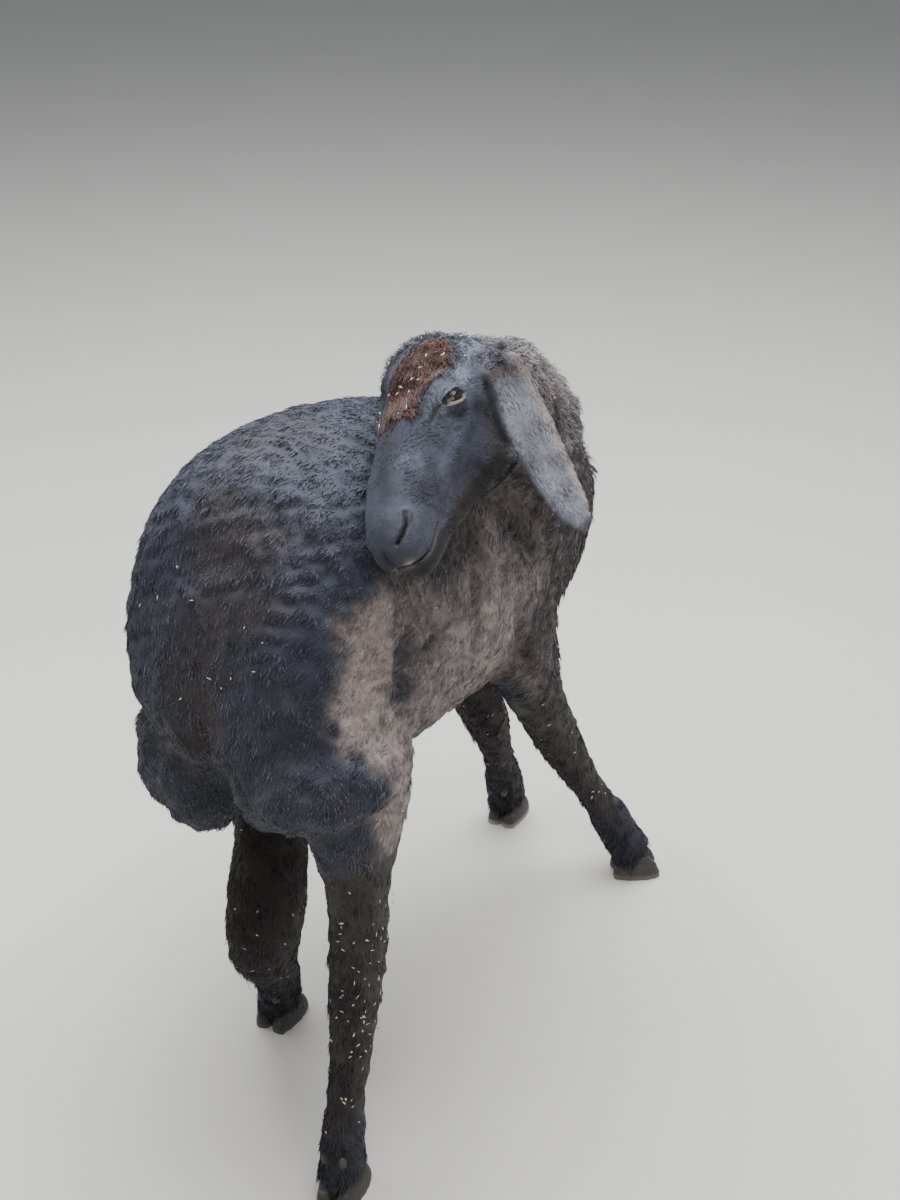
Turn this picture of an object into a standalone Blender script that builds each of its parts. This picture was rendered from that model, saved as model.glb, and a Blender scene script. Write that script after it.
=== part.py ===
"""A life-size standing sheep: a black, shorn, fat-rumped ewe that looks back over its right side.

Run it with: blender --background --python part.py

The body is modelled whole, as lofted forms that a voxel remesh joins, and is then parted by thin plates
into head, neck, trunk, rump and legs. Eyes, ears, hooves and dewclaws are bodies of their own. Everything
is in metres: +Z is up, -Y is ahead of the animal and +X is its left, with the origin on the floor under
the middle of its box.
"""

import math

import bmesh
import bpy
from mathutils import Matrix, Vector

# ---------------------------------------------------------------- driving sizes

HEAD_LENGTH = 0.255
EYE_RADIUS = 0.0152
CLAW_SPREAD = 0.0132      # from the middle of a foot to the middle of each claw
CLAW_SPLAY = 4.0          # degrees that each claw turns away from the other
CROWN_LEVEL = 0.030       # where the hair of the leg ends over the hooves

CUT_GAP = 0.0004          # thickness of the plates that part the body
SEAT_GAP = 0.0005         # clearance round a body that is let into another
VOXEL = 0.0050
SMOOTHING_ROUNDS = 6
BODY_TRIANGLES = 2600
HEAD_TRIANGLES = 1300

# The middle of the finished box, measured from the middle of the hind feet, as (ahead, left).
BOX_MIDDLE_AHEAD = 0.2728
BOX_MIDDLE_LEFT = -0.0019

UP = Vector((0.0, 0.0, 1.0))
AHEAD = Vector((0.0, -1.0, 0.0))
LEFT = Vector((1.0, 0.0, 0.0))


def at(ahead, left, up):
    """The point that far ahead of and left of the middle of the hind feet, and that high."""
    return Vector((left - BOX_MIDDLE_LEFT, BOX_MIDDLE_AHEAD - ahead, up))


# ---------------------------------------------------------------- scene and materials

def clear_scene():
    for thing in list(bpy.data.objects):
        bpy.data.objects.remove(thing, do_unlink=True)


def collection_named(name):
    made = bpy.data.collections.new(name)
    bpy.context.scene.collection.children.link(made)
    return made


def finish(name, colour, roughness):
    material = bpy.data.materials.new(name)
    material.use_nodes = True
    shader = material.node_tree.nodes["Principled BSDF"]
    shader.inputs["Base Color"].default_value = (*colour, 1.0)
    shader.inputs["Roughness"].default_value = roughness
    shader.inputs["Metallic"].default_value = 0.0
    material.diffuse_color = (*colour, 1.0)
    return material


# ---------------------------------------------------------------- lofted forms

class Section:
    """One cross-section of a lofted form: its middle, half its width and its half heights above and below."""

    def __init__(self, middle, width, above, below=None, square=2.0):
        self.middle = Vector(middle)
        self.width = width
        self.above = above
        self.below = above if below is None else below
        self.square = square

    def sizes(self):
        return (*self.middle, self.width, self.above, self.below, self.square)

    @staticmethod
    def from_sizes(sizes):
        return Section(sizes[:3], *sizes[3:])


def between(before, start, end, after, share):
    """Catmull-Rom value at a share of the way from start to end."""
    slope_out = (end - before) / 2
    slope_in = (after - start) / 2
    square, cube = share * share, share * share * share
    return (
        start * (2 * cube - 3 * square + 1)
        + end * (3 * square - 2 * cube)
        + slope_out * (cube - 2 * square + share)
        + slope_in * (cube - square)
    )


def smooth_run(sections, steps):
    """The same form with steps sections for each one given, along a smooth curve."""
    rows = [section.sizes() for section in sections]
    padded = [rows[0], *rows, rows[-1]]
    run = []
    for index in range(1, len(padded) - 2):
        four = padded[index - 1 : index + 3]
        for step in range(steps):
            values = [between(*column, step / steps) for column in zip(*four)]
            run.append(Section.from_sizes(values))
    run.append(sections[-1])
    return run


def ring_point(section, side, over, angle):
    """A point of the section's rounded outline, as a superellipse."""
    across, rise = math.cos(angle), math.sin(angle)
    power = 2.0 / section.square
    height = section.above if rise >= 0 else section.below
    return (
        section.middle
        + side * math.copysign(abs(across) ** power, across) * section.width
        + over * math.copysign(abs(rise) ** power, rise) * height
    )


def loft(name, sections, top, sides=28, steps=5):
    """A closed form through the sections. top is the way that their upper halves point."""
    run = smooth_run(sections, steps)
    grid = bmesh.new()
    rings = []
    for index, section in enumerate(run):
        before = run[max(index - 1, 0)].middle
        after = run[min(index + 1, len(run) - 1)].middle
        along = (after - before).normalized()
        side = along.cross(top).normalized()
        over = side.cross(along).normalized()
        turn = 2 * math.pi / sides
        rings.append([grid.verts.new(ring_point(section, side, over, k * turn)) for k in range(sides)])
    for near, far in zip(rings, rings[1:]):
        for k in range(sides):
            grid.faces.new((near[k], near[(k + 1) % sides], far[(k + 1) % sides], far[k]))
    grid.faces.new(rings[0][::-1])
    grid.faces.new(rings[-1])
    bmesh.ops.recalc_face_normals(grid, faces=grid.faces)
    return object_of(name, grid)


def object_of(name, grid):
    mesh = bpy.data.meshes.new(name)
    grid.to_mesh(mesh)
    grid.free()
    made = bpy.data.objects.new(name, mesh)
    bpy.context.scene.collection.objects.link(made)
    return made


def ball(name, middle, radii, turned=None, segments=24, rings=14):
    """An ellipsoid with its three half sizes along X, Y and Z, or along the columns of turned."""
    grid = bmesh.new()
    bmesh.ops.create_uvsphere(grid, u_segments=segments, v_segments=rings, radius=1.0)
    turn = (turned or Matrix.Identity(3)).to_4x4()
    placed = Matrix.Translation(middle) @ turn @ Matrix.Diagonal((*radii, 1.0))
    bmesh.ops.transform(grid, matrix=placed, verts=grid.verts)
    return object_of(name, grid)


# ---------------------------------------------------------------- mesh tools

def select_only(*things):
    bpy.ops.object.select_all(action="DESELECT")
    for thing in things:
        thing.select_set(True)
    bpy.context.view_layer.objects.active = things[0]


def apply_modifier(thing, kind, **settings):
    modifier = thing.modifiers.new(kind.title(), kind)
    for key, value in settings.items():
        setattr(modifier, key, value)
    select_only(thing)
    bpy.ops.object.modifier_apply(modifier=modifier.name)


def joined(name, pieces):
    select_only(*pieces)
    bpy.ops.object.join()
    made = bpy.context.view_layer.objects.active
    made.name = name
    return made


def fused(name, pieces, voxel, rounds):
    """The pieces as one smooth closed skin."""
    body = joined(name, pieces)
    apply_modifier(body, "REMESH", mode="VOXEL", voxel_size=voxel, use_smooth_shade=True)
    apply_modifier(body, "SMOOTH", factor=0.5, iterations=rounds)
    bodies = sorted(loose_bodies(body), key=lambda piece: len(piece.data.polygons))
    drop(*bodies[:-1])
    return bodies[-1]


def thin_where(body, wanted, chosen):
    """Thins the chosen vertices until about wanted triangles are left there."""
    group = body.vertex_groups.new(name="thin")
    inside = [vertex.index for vertex in body.data.vertices if chosen(vertex.co)]
    group.add(inside, 1.0, "REPLACE")
    inside = set(inside)
    faces = [face for face in body.data.polygons if face.vertices[0] in inside]
    there = sum(len(face.vertices) - 2 for face in faces)
    total = sum(len(face.vertices) - 2 for face in body.data.polygons)
    apply_modifier(
        body, "DECIMATE", ratio=(total - there + wanted) / total, use_collapse_triangulate=True,
        vertex_group="thin", vertex_group_factor=1.0,
    )
    body.vertex_groups.clear()


def cut(body, tool, operation="DIFFERENCE"):
    apply_modifier(body, "BOOLEAN", operation=operation, object=tool, solver="EXACT")


def swollen(thing, depth):
    """A copy that stands proud of thing by depth all over."""
    copy = thing.copy()
    copy.data = thing.data.copy()
    bpy.context.scene.collection.objects.link(copy)
    apply_modifier(copy, "DISPLACE", strength=depth, mid_level=0.0)
    return copy


def drop(*things):
    for thing in things:
        bpy.data.objects.remove(thing, do_unlink=True)


def plate(middle, facing, radius):
    """A thin round plate that parts what it crosses."""
    grid = bmesh.new()
    turn = facing.to_track_quat("Z", "Y").to_matrix().to_4x4()
    bmesh.ops.create_cone(
        grid, cap_ends=True, segments=20, radius1=radius, radius2=radius, depth=CUT_GAP,
        matrix=Matrix.Translation(middle) @ turn,
    )
    return object_of("plate", grid)


def loose_bodies(body):
    select_only(body)
    bpy.ops.object.mode_set(mode="EDIT")
    bpy.ops.mesh.select_all(action="SELECT")
    bpy.ops.mesh.separate(type="LOOSE")
    bpy.ops.object.mode_set(mode="OBJECT")
    return list(bpy.context.selected_objects)


# ---------------------------------------------------------------- trunk and rump

BARREL = (
    # ahead, left, up, half width, height above, depth below, squareness
    (-0.085, 0.030, 0.610, 0.070, 0.090, 0.080, 2.3),
    (-0.062, 0.030, 0.605, 0.118, 0.150, 0.110, 2.3),
    (-0.020, 0.034, 0.600, 0.146, 0.192, 0.130, 2.3),
    (0.040, 0.040, 0.598, 0.163, 0.213, 0.142, 2.3),
    (0.120, 0.050, 0.594, 0.171, 0.219, 0.172, 2.2),
    (0.210, 0.058, 0.586, 0.176, 0.208, 0.176, 2.1),
    (0.300, 0.050, 0.578, 0.166, 0.193, 0.172, 2.1),
    (0.370, 0.034, 0.576, 0.142, 0.192, 0.176, 2.1),
    (0.430, 0.022, 0.568, 0.118, 0.182, 0.165, 2.2),
    (0.490, 0.015, 0.545, 0.088, 0.145, 0.138, 2.2),
    (0.545, 0.010, 0.515, 0.055, 0.095, 0.090, 2.2),
    (0.580, 0.006, 0.495, 0.026, 0.045, 0.045, 2.2),
)


def trunk_form():
    """Barrel from the buttocks to the brisket, bowed a little to the left, away from the turned head."""
    return loft("barrel", [Section(at(*row[:3]), *row[3:]) for row in BARREL], UP)


# The fat cushions as (ahead, left, up) and then half width, half length and half height. The left cushion
# hangs lower. The right one runs round the thigh as a roll with a ledge under it.
RUMP_CUSHIONS = (
    (-0.012, 0.142, 0.463, 0.060, 0.036, 0.055),
    (-0.028, 0.120, 0.458, 0.056, 0.052, 0.066),
    (-0.040, 0.082, 0.463, 0.055, 0.055, 0.074),
    (-0.044, -0.022, 0.500, 0.055, 0.058, 0.066),
    (-0.056, -0.062, 0.508, 0.048, 0.058, 0.052),
    (-0.048, -0.098, 0.514, 0.042, 0.056, 0.044),
    (-0.022, -0.122, 0.520, 0.032, 0.050, 0.038),
)


def rump_forms():
    """The two hanging cushions of the fat rump, with a groove between them."""
    return [ball("cushion", at(*row[:3]), row[3:]) for row in RUMP_CUSHIONS]


# ---------------------------------------------------------------- legs

# Joints of each leg from the top down as (ahead, left, up): shoulder or hip, elbow or stifle, knee or hock,
# fetlock and crown of the hoof. Then how far the toes turn out, in degrees.
LEGS = {
    "fore_left": (
        (
            (0.360, 0.085, 0.600),
            (0.390, 0.070, 0.430),
            (0.482, 0.062, 0.265),
            (0.598, 0.106, 0.090),
            (0.622, 0.111, CROWN_LEVEL),
        ),
        8.0,
    ),
    "fore_right": (
        (
            (0.350, -0.045, 0.600),
            (0.372, -0.055, 0.450),
            (0.482, -0.050, 0.265),
            (0.584, -0.074, 0.095),
            (0.608, -0.103, CROWN_LEVEL),
        ),
        50.0,
    ),
    "hind_left": (
        (
            (0.060, 0.110, 0.600),
            (0.105, 0.105, 0.420),
            (0.006, 0.049, 0.255),
            (0.080, 0.101, 0.092),
            (0.104, 0.121, CROWN_LEVEL),
        ),
        6.0,
    ),
    "hind_right": (
        (
            (0.020, -0.060, 0.600),
            (0.000, -0.085, 0.450),
            (-0.024, -0.100, 0.285),
            (-0.070, -0.108, 0.088),
            (-0.078, -0.110, CROWN_LEVEL),
        ),
        -12.0,
    ),
}

# Where along a leg, counted in joints from the top, then half width and half depth there.
FORE_SIZES = (
    (0.0, 0.045, 0.080),
    (0.5, 0.048, 0.078),
    (1.0, 0.042, 0.056),
    (1.5, 0.032, 0.039),
    (2.0, 0.028, 0.034),
    (2.5, 0.021, 0.025),
    (2.8, 0.022, 0.026),
    (3.0, 0.027, 0.031),
    (3.5, 0.026, 0.031),
    (4.0, 0.029, 0.035),
)
HIND_SIZES = (
    (0.0, 0.055, 0.080),
    (0.5, 0.055, 0.085),
    (1.0, 0.048, 0.072),
    (1.5, 0.030, 0.046),
    (2.0, 0.027, 0.044),
    (2.4, 0.024, 0.033),
    (2.75, 0.021, 0.026),
    (3.0, 0.025, 0.031),
    (3.5, 0.025, 0.031),
    (4.0, 0.028, 0.035),
)
HEAVIER = {"hind_left": 1.4}


def along_joints(joints, place):
    """The point that far down the chain of joints, along a smooth curve."""
    start = min(int(place), len(joints) - 2)
    chosen = [joints[min(max(k, 0), len(joints) - 1)] for k in range(start - 1, start + 3)]
    return at(*(between(*column, place - start) for column in zip(*chosen)))


def leg_forms():
    forms = []
    for name, (joints, _) in LEGS.items():
        sizes = FORE_SIZES if name.startswith("fore") else HIND_SIZES
        more = HEAVIER.get(name, 1.0)
        sections = []
        for place, width, depth in sizes:
            grow = 1.0 + (more - 1.0) * max(0.0, 1.0 - abs(place - 2.1) / 1.0)
            sections.append(Section(along_joints(joints, place), width * grow, depth * grow))
        forms.append(loft(name, sections, AHEAD, sides=20, steps=4))
    return forms


# ---------------------------------------------------------------- head and neck

POLL = at(0.199, -0.054, 0.885)
HEAD_FORWARD = Vector((-0.208, 0.931, -0.299)).normalized()
HEAD_LEFT = Vector((-0.807, 0.0095, 0.590))
HEAD_LEFT = (HEAD_LEFT - HEAD_FORWARD * HEAD_LEFT.dot(HEAD_FORWARD)).normalized()
HEAD_TOP = HEAD_FORWARD.cross(HEAD_LEFT).normalized()


def on_head(forward, left, top):
    """A point of the head, in shares of its length from the poll."""
    return POLL + HEAD_LENGTH * (HEAD_FORWARD * forward + HEAD_LEFT * left + HEAD_TOP * top)


def head_sections(rows):
    scale = HEAD_LENGTH
    return [
        Section(on_head(forward, 0.0, top), width * scale, above * scale, below * scale, square)
        for forward, top, width, above, below, square in rows
    ]


SKULL = (
    # forward, top, half width, above, below, squareness
    (-0.12, -0.20, 0.115, 0.100, 0.120, 2.0),
    (-0.04, -0.17, 0.185, 0.150, 0.170, 2.0),
    (0.08, -0.15, 0.212, 0.185, 0.200, 2.1),
    (0.22, -0.15, 0.212, 0.205, 0.200, 2.2),
    (0.36, -0.16, 0.198, 0.200, 0.185, 2.3),
    (0.50, -0.175, 0.160, 0.190, 0.165, 2.3),
    (0.64, -0.20, 0.134, 0.187, 0.140, 2.3),
    (0.78, -0.235, 0.128, 0.178, 0.100, 2.3),
    (0.89, -0.265, 0.122, 0.145, 0.070, 2.2),
    (0.96, -0.285, 0.098, 0.100, 0.055, 2.1),
    (0.995, -0.295, 0.055, 0.050, 0.035, 2.0),
)

JAW = (
    (0.02, -0.36, 0.100, 0.120, 0.100, 2.0),
    (0.12, -0.38, 0.145, 0.150, 0.130, 2.0),
    (0.24, -0.385, 0.150, 0.150, 0.130, 2.0),
    (0.40, -0.375, 0.120, 0.120, 0.105, 2.0),
    (0.56, -0.37, 0.092, 0.090, 0.075, 2.0),
    (0.72, -0.365, 0.080, 0.065, 0.060, 2.0),
    (0.83, -0.365, 0.084, 0.045, 0.062, 2.0),
    (0.905, -0.365, 0.070, 0.035, 0.058, 2.0),
    (0.945, -0.362, 0.040, 0.022, 0.038, 2.0),
)


# Rounded forms on the head as (forward, left, top) and then half length, half width and half height.
BROW = ((0.33, 0.150, -0.045), (0.12, 0.062, 0.075))
CHEEK = ((0.27, 0.110, -0.27), (0.22, 0.068, 0.20))
FORELOCK = ((0.17, -0.02, 0.01), (0.19, 0.18, 0.105))


def head_ball(form, side=1):
    (forward, left, top), radii = form
    turned = Matrix((HEAD_FORWARD, HEAD_LEFT, HEAD_TOP)).transposed()
    return ball("head_ball", on_head(forward, left * side, top), Vector(radii) * HEAD_LENGTH, turned)


def head_forms():
    forms = [loft("skull", head_sections(SKULL), HEAD_TOP), loft("jaw", head_sections(JAW), HEAD_TOP)]
    for side in (1, -1):
        forms += [head_ball(BROW, side), head_ball(CHEEK, side)]
    return [*forms, head_ball(FORELOCK)]


EYE_PLACE = (0.350, 0.154, -0.086)


def eye_form(side):
    forward, left, top = EYE_PLACE
    return ball("eye", on_head(forward, left * side, top), (EYE_RADIUS,) * 3, segments=14, rings=8)


EAR_SIZES = (
    # share of the length, half width, half thickness
    (0.00, 0.0140, 0.0090),
    (0.10, 0.0180, 0.0080),
    (0.30, 0.0265, 0.0068),
    (0.55, 0.0300, 0.0060),
    (0.80, 0.0275, 0.0054),
    (0.93, 0.0190, 0.0046),
    (1.00, 0.0085, 0.0032),
)
# The middle line of each ear, in shares of the head, and the way that the back of the ear faces.
EARS = {
    "ear_left": (
        ((0.06, 0.16, -0.13), (0.07, 0.230, -0.19), (0.22, 0.218, -0.46), (0.37, 0.235, -0.80)),
        Vector((-0.74, 0.26, 0.62)),
    ),
    "ear_right": (
        (
            (0.06, -0.16, -0.13),
            (-0.03, -0.25, -0.11),
            (-0.17, -0.31, -0.065),
            (-0.325, -0.455, -0.090),
            (-0.492, -0.615, -0.140),
        ),
        Vector((0.10, 0.10, 1.00)),
    ),
}


# The right ear is folded back along its length, so that it is narrower.
EAR_FOLDED = {"ear_left": 1.0, "ear_right": 0.80}


def ear_form(name):
    points, facing = EARS[name]
    padded = [points[0], *points, points[-1]]
    sections = []
    for share, width, thick in EAR_SIZES:
        place = share * (len(points) - 1)
        start = min(int(place), len(points) - 2)
        middle = [between(*column, place - start) for column in zip(*padded[start : start + 4])]
        sections.append(Section(on_head(*middle), width * EAR_FOLDED[name], thick))
    return loft(name, sections, facing, sides=12, steps=2)


NECK = (
    # ahead, left, up, half width, half height
    (0.360, 0.015, 0.600, 0.115, 0.135),
    (0.382, -0.005, 0.660, 0.108, 0.115),
    (0.382, -0.028, 0.715, 0.092, 0.095),
    (0.342, -0.046, 0.757, 0.078, 0.082),
)
NECK_END = (
    # forward, top, half width, half height, in shares of the head
    (-0.08, -0.28, 0.225, 0.225),
    (0.06, -0.26, 0.190, 0.200),
)


def neck_form():
    sections = [Section(at(*row[:3]), row[3], row[4]) for row in NECK]
    for forward, top, width, height in NECK_END:
        sections.append(Section(on_head(forward, 0.0, top), width * HEAD_LENGTH, height * HEAD_LENGTH))
    return loft("neck_run", sections, UP, steps=6)


# ---------------------------------------------------------------- feet

CLAW = (
    # along the toe, half width, height
    (-0.0300, 0.0040, 0.0120),
    (-0.0260, 0.0090, 0.0210),
    (-0.0120, 0.0112, 0.0300),
    (0.0040, 0.0118, 0.0360),
    (0.0180, 0.0105, 0.0330),
    (0.0280, 0.0075, 0.0220),
    (0.0340, 0.0035, 0.0080),
)
DEWCLAW_PLACE = (-0.030, 0.0145, 0.0660)      # along the toe from the middle of the leg, to each side, up
DEWCLAW_RADII = (0.0065, 0.0055, 0.0095)


def foot_frame(name):
    """The middle of a foot on the floor, its toe's way and its left."""
    joints, turn = LEGS[name]
    ahead, left, _ = joints[-1]
    angle = math.radians(turn) * (1 if left > 0 else -1)
    toe = Vector((math.sin(angle), -math.cos(angle), 0.0))
    return at(ahead, left, 0.0), toe, UP.cross(toe)


def claw_form(name, leg, side):
    """One claw, flat on the floor. side is 1 for the left claw and -1 for the right one."""
    foot, toe, left = foot_frame(leg)
    toe = Matrix.Rotation(math.radians(CLAW_SPLAY) * side, 3, "Z") @ toe
    start = foot + left * CLAW_SPREAD * side
    sections = [Section(start + toe * along, width, height, 0.0, 2.4) for along, width, height in CLAW]
    return loft(name, sections, UP, sides=10, steps=1)


def dewclaw_form(name, leg, side):
    foot, toe, left = foot_frame(leg)
    along, aside, up = DEWCLAW_PLACE
    fetlock, crown = LEGS[leg][0][-2:]
    share = (up - crown[2]) / (fetlock[2] - crown[2])
    place = at(*Vector(crown).lerp(Vector(fetlock), share)) + toe * along + left * aside * side
    return ball(name, place, DEWCLAW_RADII, Matrix((toe, left, UP)).transposed(), 8, 5)


# ---------------------------------------------------------------- parting the body

LEG_CUTS = {"fore_left": 0.388, "fore_right": 0.392, "hind_left": 0.375, "hind_right": 0.416}
LEG_CUT_RADII = {"fore": 0.070, "hind": 0.105}


def leg_plate(name):
    """A level plate through a leg, where it leaves the trunk."""
    level = LEG_CUTS[name]
    joints, _ = LEGS[name]
    upper, lower = [pair for pair in zip(joints, joints[1:]) if pair[0][2] >= level > pair[1][2]][0]
    share = (upper[2] - level) / (upper[2] - lower[2])
    middle = Vector(upper).lerp(Vector(lower), share)
    return plate(at(middle.x, middle.y, level), UP, LEG_CUT_RADII[name[:4]])


def head_plate():
    return plate(on_head(0.02, 0.0, -0.27), HEAD_FORWARD * 0.942 + HEAD_TOP * 0.335, 0.088)


def neck_plate():
    return plate(at(0.36, -0.02, 0.74), AHEAD * 0.45 - LEFT * 0.35 + UP * 0.82, 0.28)


def tail_plate():
    return plate(at(-0.042, 0.03, 0.54), AHEAD * -0.9635 - UP * 0.2676, 0.26)


def part_with(body, plates):
    """The loose bodies that are left of body once the plates are cut out of it."""
    for tool in plates:
        cut(body, tool)
        drop(tool)
    return loose_bodies(body)


def middle_of(thing):
    points = [vertex.co for vertex in thing.data.vertices]
    return sum(points, Vector()) / len(points)


def take(bodies, name, near):
    """Takes the body whose middle is nearest to a point out of the list, and names it."""
    found = min(bodies, key=lambda body: (middle_of(body) - near).length)
    bodies.remove(found)
    found.name = found.data.name = name
    return found


# ---------------------------------------------------------------- assembly

WOOL = ((0.020, 0.022, 0.028), 0.95)
DARK_HAIR = ((0.030, 0.024, 0.022), 0.90)
FACE_HAIR = ((0.045, 0.050, 0.062), 0.70)
HORN = ((0.016, 0.015, 0.015), 0.45)
EYE_FINISH = ((0.030, 0.020, 0.012), 0.08)


FACE_MIDDLE = on_head(0.5, 0.0, -0.2)
FACE_RADIUS = 0.62 * HEAD_LENGTH


def in_face(point):
    return (point - FACE_MIDDLE).length < FACE_RADIUS


def build_flesh():
    """The skinned bodies: head, neck, trunk, tail and four legs."""
    forms = [trunk_form(), *rump_forms(), *leg_forms(), neck_form(), *head_forms()]
    whole = fused("body", forms, VOXEL, SMOOTHING_ROUNDS)
    thin_where(whole, BODY_TRIANGLES, lambda point: not in_face(point))
    thin_where(whole, HEAD_TRIANGLES, in_face)
    bodies = part_with(whole, [*(leg_plate(name) for name in LEGS), head_plate()])
    flesh = {}
    for name, (joints, _) in LEGS.items():
        flesh[LEG_NODES[name]] = take(bodies, LEG_NODES[name], at(*joints[2]))
    flesh["head"] = take(bodies, "head", on_head(0.4, 0.0, -0.2))
    bodies = part_with(bodies[0], [neck_plate(), tail_plate()])
    flesh["trunk"] = take(bodies, "trunk", at(0.25, 0.03, 0.58))
    flesh["neck"] = take(bodies, "neck", at(0.36, -0.04, 0.77))
    flesh["tail"] = take(bodies, "tail", at(-0.06, 0.03, 0.52))
    assert not bodies, "a plate parted more than it should"
    return flesh


LEG_NODES = {
    "fore_left": "foreleg_left",
    "fore_right": "foreleg_right",
    "hind_left": "hindleg_left",
    "hind_right": "hindleg_right",
}


def let_in(body, pieces):
    """Hollows body round each piece, so that they meet without overlap."""
    for piece in pieces:
        tool = swollen(piece, SEAT_GAP)
        cut(body, tool)
        drop(tool)


def main():
    clear_scene()
    sheep = collection_named("shorn_sheep")
    nodes = build_flesh()
    finishes = dict.fromkeys(nodes, DARK_HAIR)
    finishes.update(trunk=WOOL, tail=WOOL, head=FACE_HAIR)
    for side, name in ((1, "left"), (-1, "right")):
        eye = eye_form(side)
        eye.name = f"eye_{name}"
        ear = ear_form(f"ear_{name}")
        let_in(nodes["head"], [eye, ear])
        let_in(nodes["neck"], [ear])
        nodes[eye.name], finishes[eye.name] = eye, EYE_FINISH
        nodes[ear.name], finishes[ear.name] = ear, FACE_HAIR
    for leg, node in LEG_NODES.items():
        for side, name in ((1, "left"), (-1, "right")):
            claw = claw_form(f"hoof_{leg}_{name}", leg, side)
            dewclaw = dewclaw_form(f"dewclaw_{leg}_{name}", leg, side)
            let_in(nodes[node], [claw, dewclaw])
            for piece in (claw, dewclaw):
                nodes[piece.name], finishes[piece.name] = piece, HORN
    for name, body in nodes.items():
        colour, roughness = finishes[name]
        body.data.materials.clear()
        body.data.materials.append(finish(name, colour, roughness))
        body.data.polygons.foreach_set("use_smooth", [True] * len(body.data.polygons))
        for holder in body.users_collection:
            holder.objects.unlink(body)
        sheep.objects.link(body)


if __name__ == "__main__":
    main()
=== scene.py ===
"""The looks of a life-size black shorn sheep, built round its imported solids.

One skin covers head, neck, trunk, tail, legs and ears. Tufts of wool and hair, eyes, hooves and
flecks of straw are pieces of their own over it. It is run as a script, in a file that holds
nothing else.
"""

import math

import bpy
import numpy as np
from bpy.props import FloatProperty, FloatVectorProperty, IntProperty, PointerProperty
from mathutils import Matrix, Vector
from mathutils.kdtree import KDTree


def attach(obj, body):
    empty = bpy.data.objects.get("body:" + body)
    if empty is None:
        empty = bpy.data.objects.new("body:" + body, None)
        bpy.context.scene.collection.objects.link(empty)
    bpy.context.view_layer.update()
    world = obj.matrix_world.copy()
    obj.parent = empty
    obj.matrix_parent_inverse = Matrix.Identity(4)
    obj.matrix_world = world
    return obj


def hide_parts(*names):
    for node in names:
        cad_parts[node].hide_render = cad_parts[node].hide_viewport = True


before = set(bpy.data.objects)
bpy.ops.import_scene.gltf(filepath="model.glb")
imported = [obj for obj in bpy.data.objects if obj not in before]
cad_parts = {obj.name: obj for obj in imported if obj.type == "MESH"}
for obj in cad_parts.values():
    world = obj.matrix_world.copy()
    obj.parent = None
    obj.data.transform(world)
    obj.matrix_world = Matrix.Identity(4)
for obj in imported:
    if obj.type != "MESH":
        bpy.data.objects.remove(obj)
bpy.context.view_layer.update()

bl_info = {
    "name": "Shorn Sheep",
    "version": (1, 0, 0),
    "blender": (4, 5, 0),
    "location": "View3D > Sidebar > Sheep",
    "description": "Models the skin, coat, eyes and hooves of a shorn sheep over its solids",
    "category": "Object",
}

BODY = "root"

# ---------------------------------------------------------------- places on the animal

FLESH_NODES = {
    "head": "head",
    "neck": "neck",
    "trunk": "trunk",
    "tail": "tail",
    "foreleg_left": "leg",
    "foreleg_right": "leg",
    "hindleg_left": "leg",
    "hindleg_right": "leg",
    "ear_left": "ear",
    "ear_right": "ear",
}
FEET = ("fore_left", "fore_right", "hind_left", "hind_right")
SIDES = {"left": 1, "right": -1}

BOX_MIDDLE_AHEAD = 0.2728
BOX_MIDDLE_LEFT = -0.0019
HEAD_LENGTH = 0.255
EYE_RADIUS = 0.0152


def at(ahead, left, up):
    """The point that far ahead of and left of the middle of the hind feet, and that high."""
    return Vector((left - BOX_MIDDLE_LEFT, BOX_MIDDLE_AHEAD - ahead, up))


POLL = at(0.199, -0.054, 0.885)
HEAD_FORWARD = Vector((-0.208, 0.931, -0.299)).normalized()
HEAD_LEFT = Vector((-0.807, 0.0095, 0.590))
HEAD_LEFT = (HEAD_LEFT - HEAD_FORWARD * HEAD_LEFT.dot(HEAD_FORWARD)).normalized()
HEAD_TOP = HEAD_FORWARD.cross(HEAD_LEFT).normalized()
HEAD_AXES = np.array([HEAD_FORWARD, HEAD_LEFT, HEAD_TOP])


def on_head(forward, left, top):
    """A point of the head, in shares of its length from the poll."""
    return POLL + HEAD_LENGTH * (HEAD_FORWARD * forward + HEAD_LEFT * left + HEAD_TOP * top)


def on_half(shares, side):
    """A point of the head's left half, or with side -1 its mirror image."""
    forward, left, top = shares
    return on_head(forward, left * side, top)


def head_shares(points):
    """Forward, left and top of each point, in shares of the head."""
    return (points - np.array(POLL)) @ HEAD_AXES.T / HEAD_LENGTH


EYE_PLACE = (0.350, 0.154, -0.086)
LID_RADIUS = 1.115                     # of the lids' outer face, in shares of the eye
EYE_AXIS = (0.05, 0.98, 0.17)          # where each eye looks: forward, outward, top
LID_AXIS = (0.92, 0.0, 0.39)           # from the outer corner of the eye to the inner one
NOSTRIL = (
    (0.868, 0.108, -0.168),
    (0.905, 0.107, -0.193),
    (0.939, 0.096, -0.203),
    (0.972, 0.071, -0.212),
)
NOSTRIL_POCKET = (0.907, 0.107, -0.194)
MOUTH = (
    (1.000, 0.000, -0.300),
    (0.984, 0.030, -0.312),
    (0.959, 0.048, -0.324),
    (0.918, 0.055, -0.336),
    (0.877, 0.068, -0.342),
    (0.818, 0.081, -0.331),
    (0.764, 0.090, -0.309),
)
LIP_SPOT = (0.985, 0.055, -0.315)      # the pale spot of the lower lip
PHILTRUM = ((0.975, 0.0, -0.205), (0.998, 0.0, -0.250), (0.998, 0.0, -0.285))
BROW_LINE = ((0.430, 0.170, -0.010), (0.330, 0.205, -0.030), (0.250, 0.215, -0.060))
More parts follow.
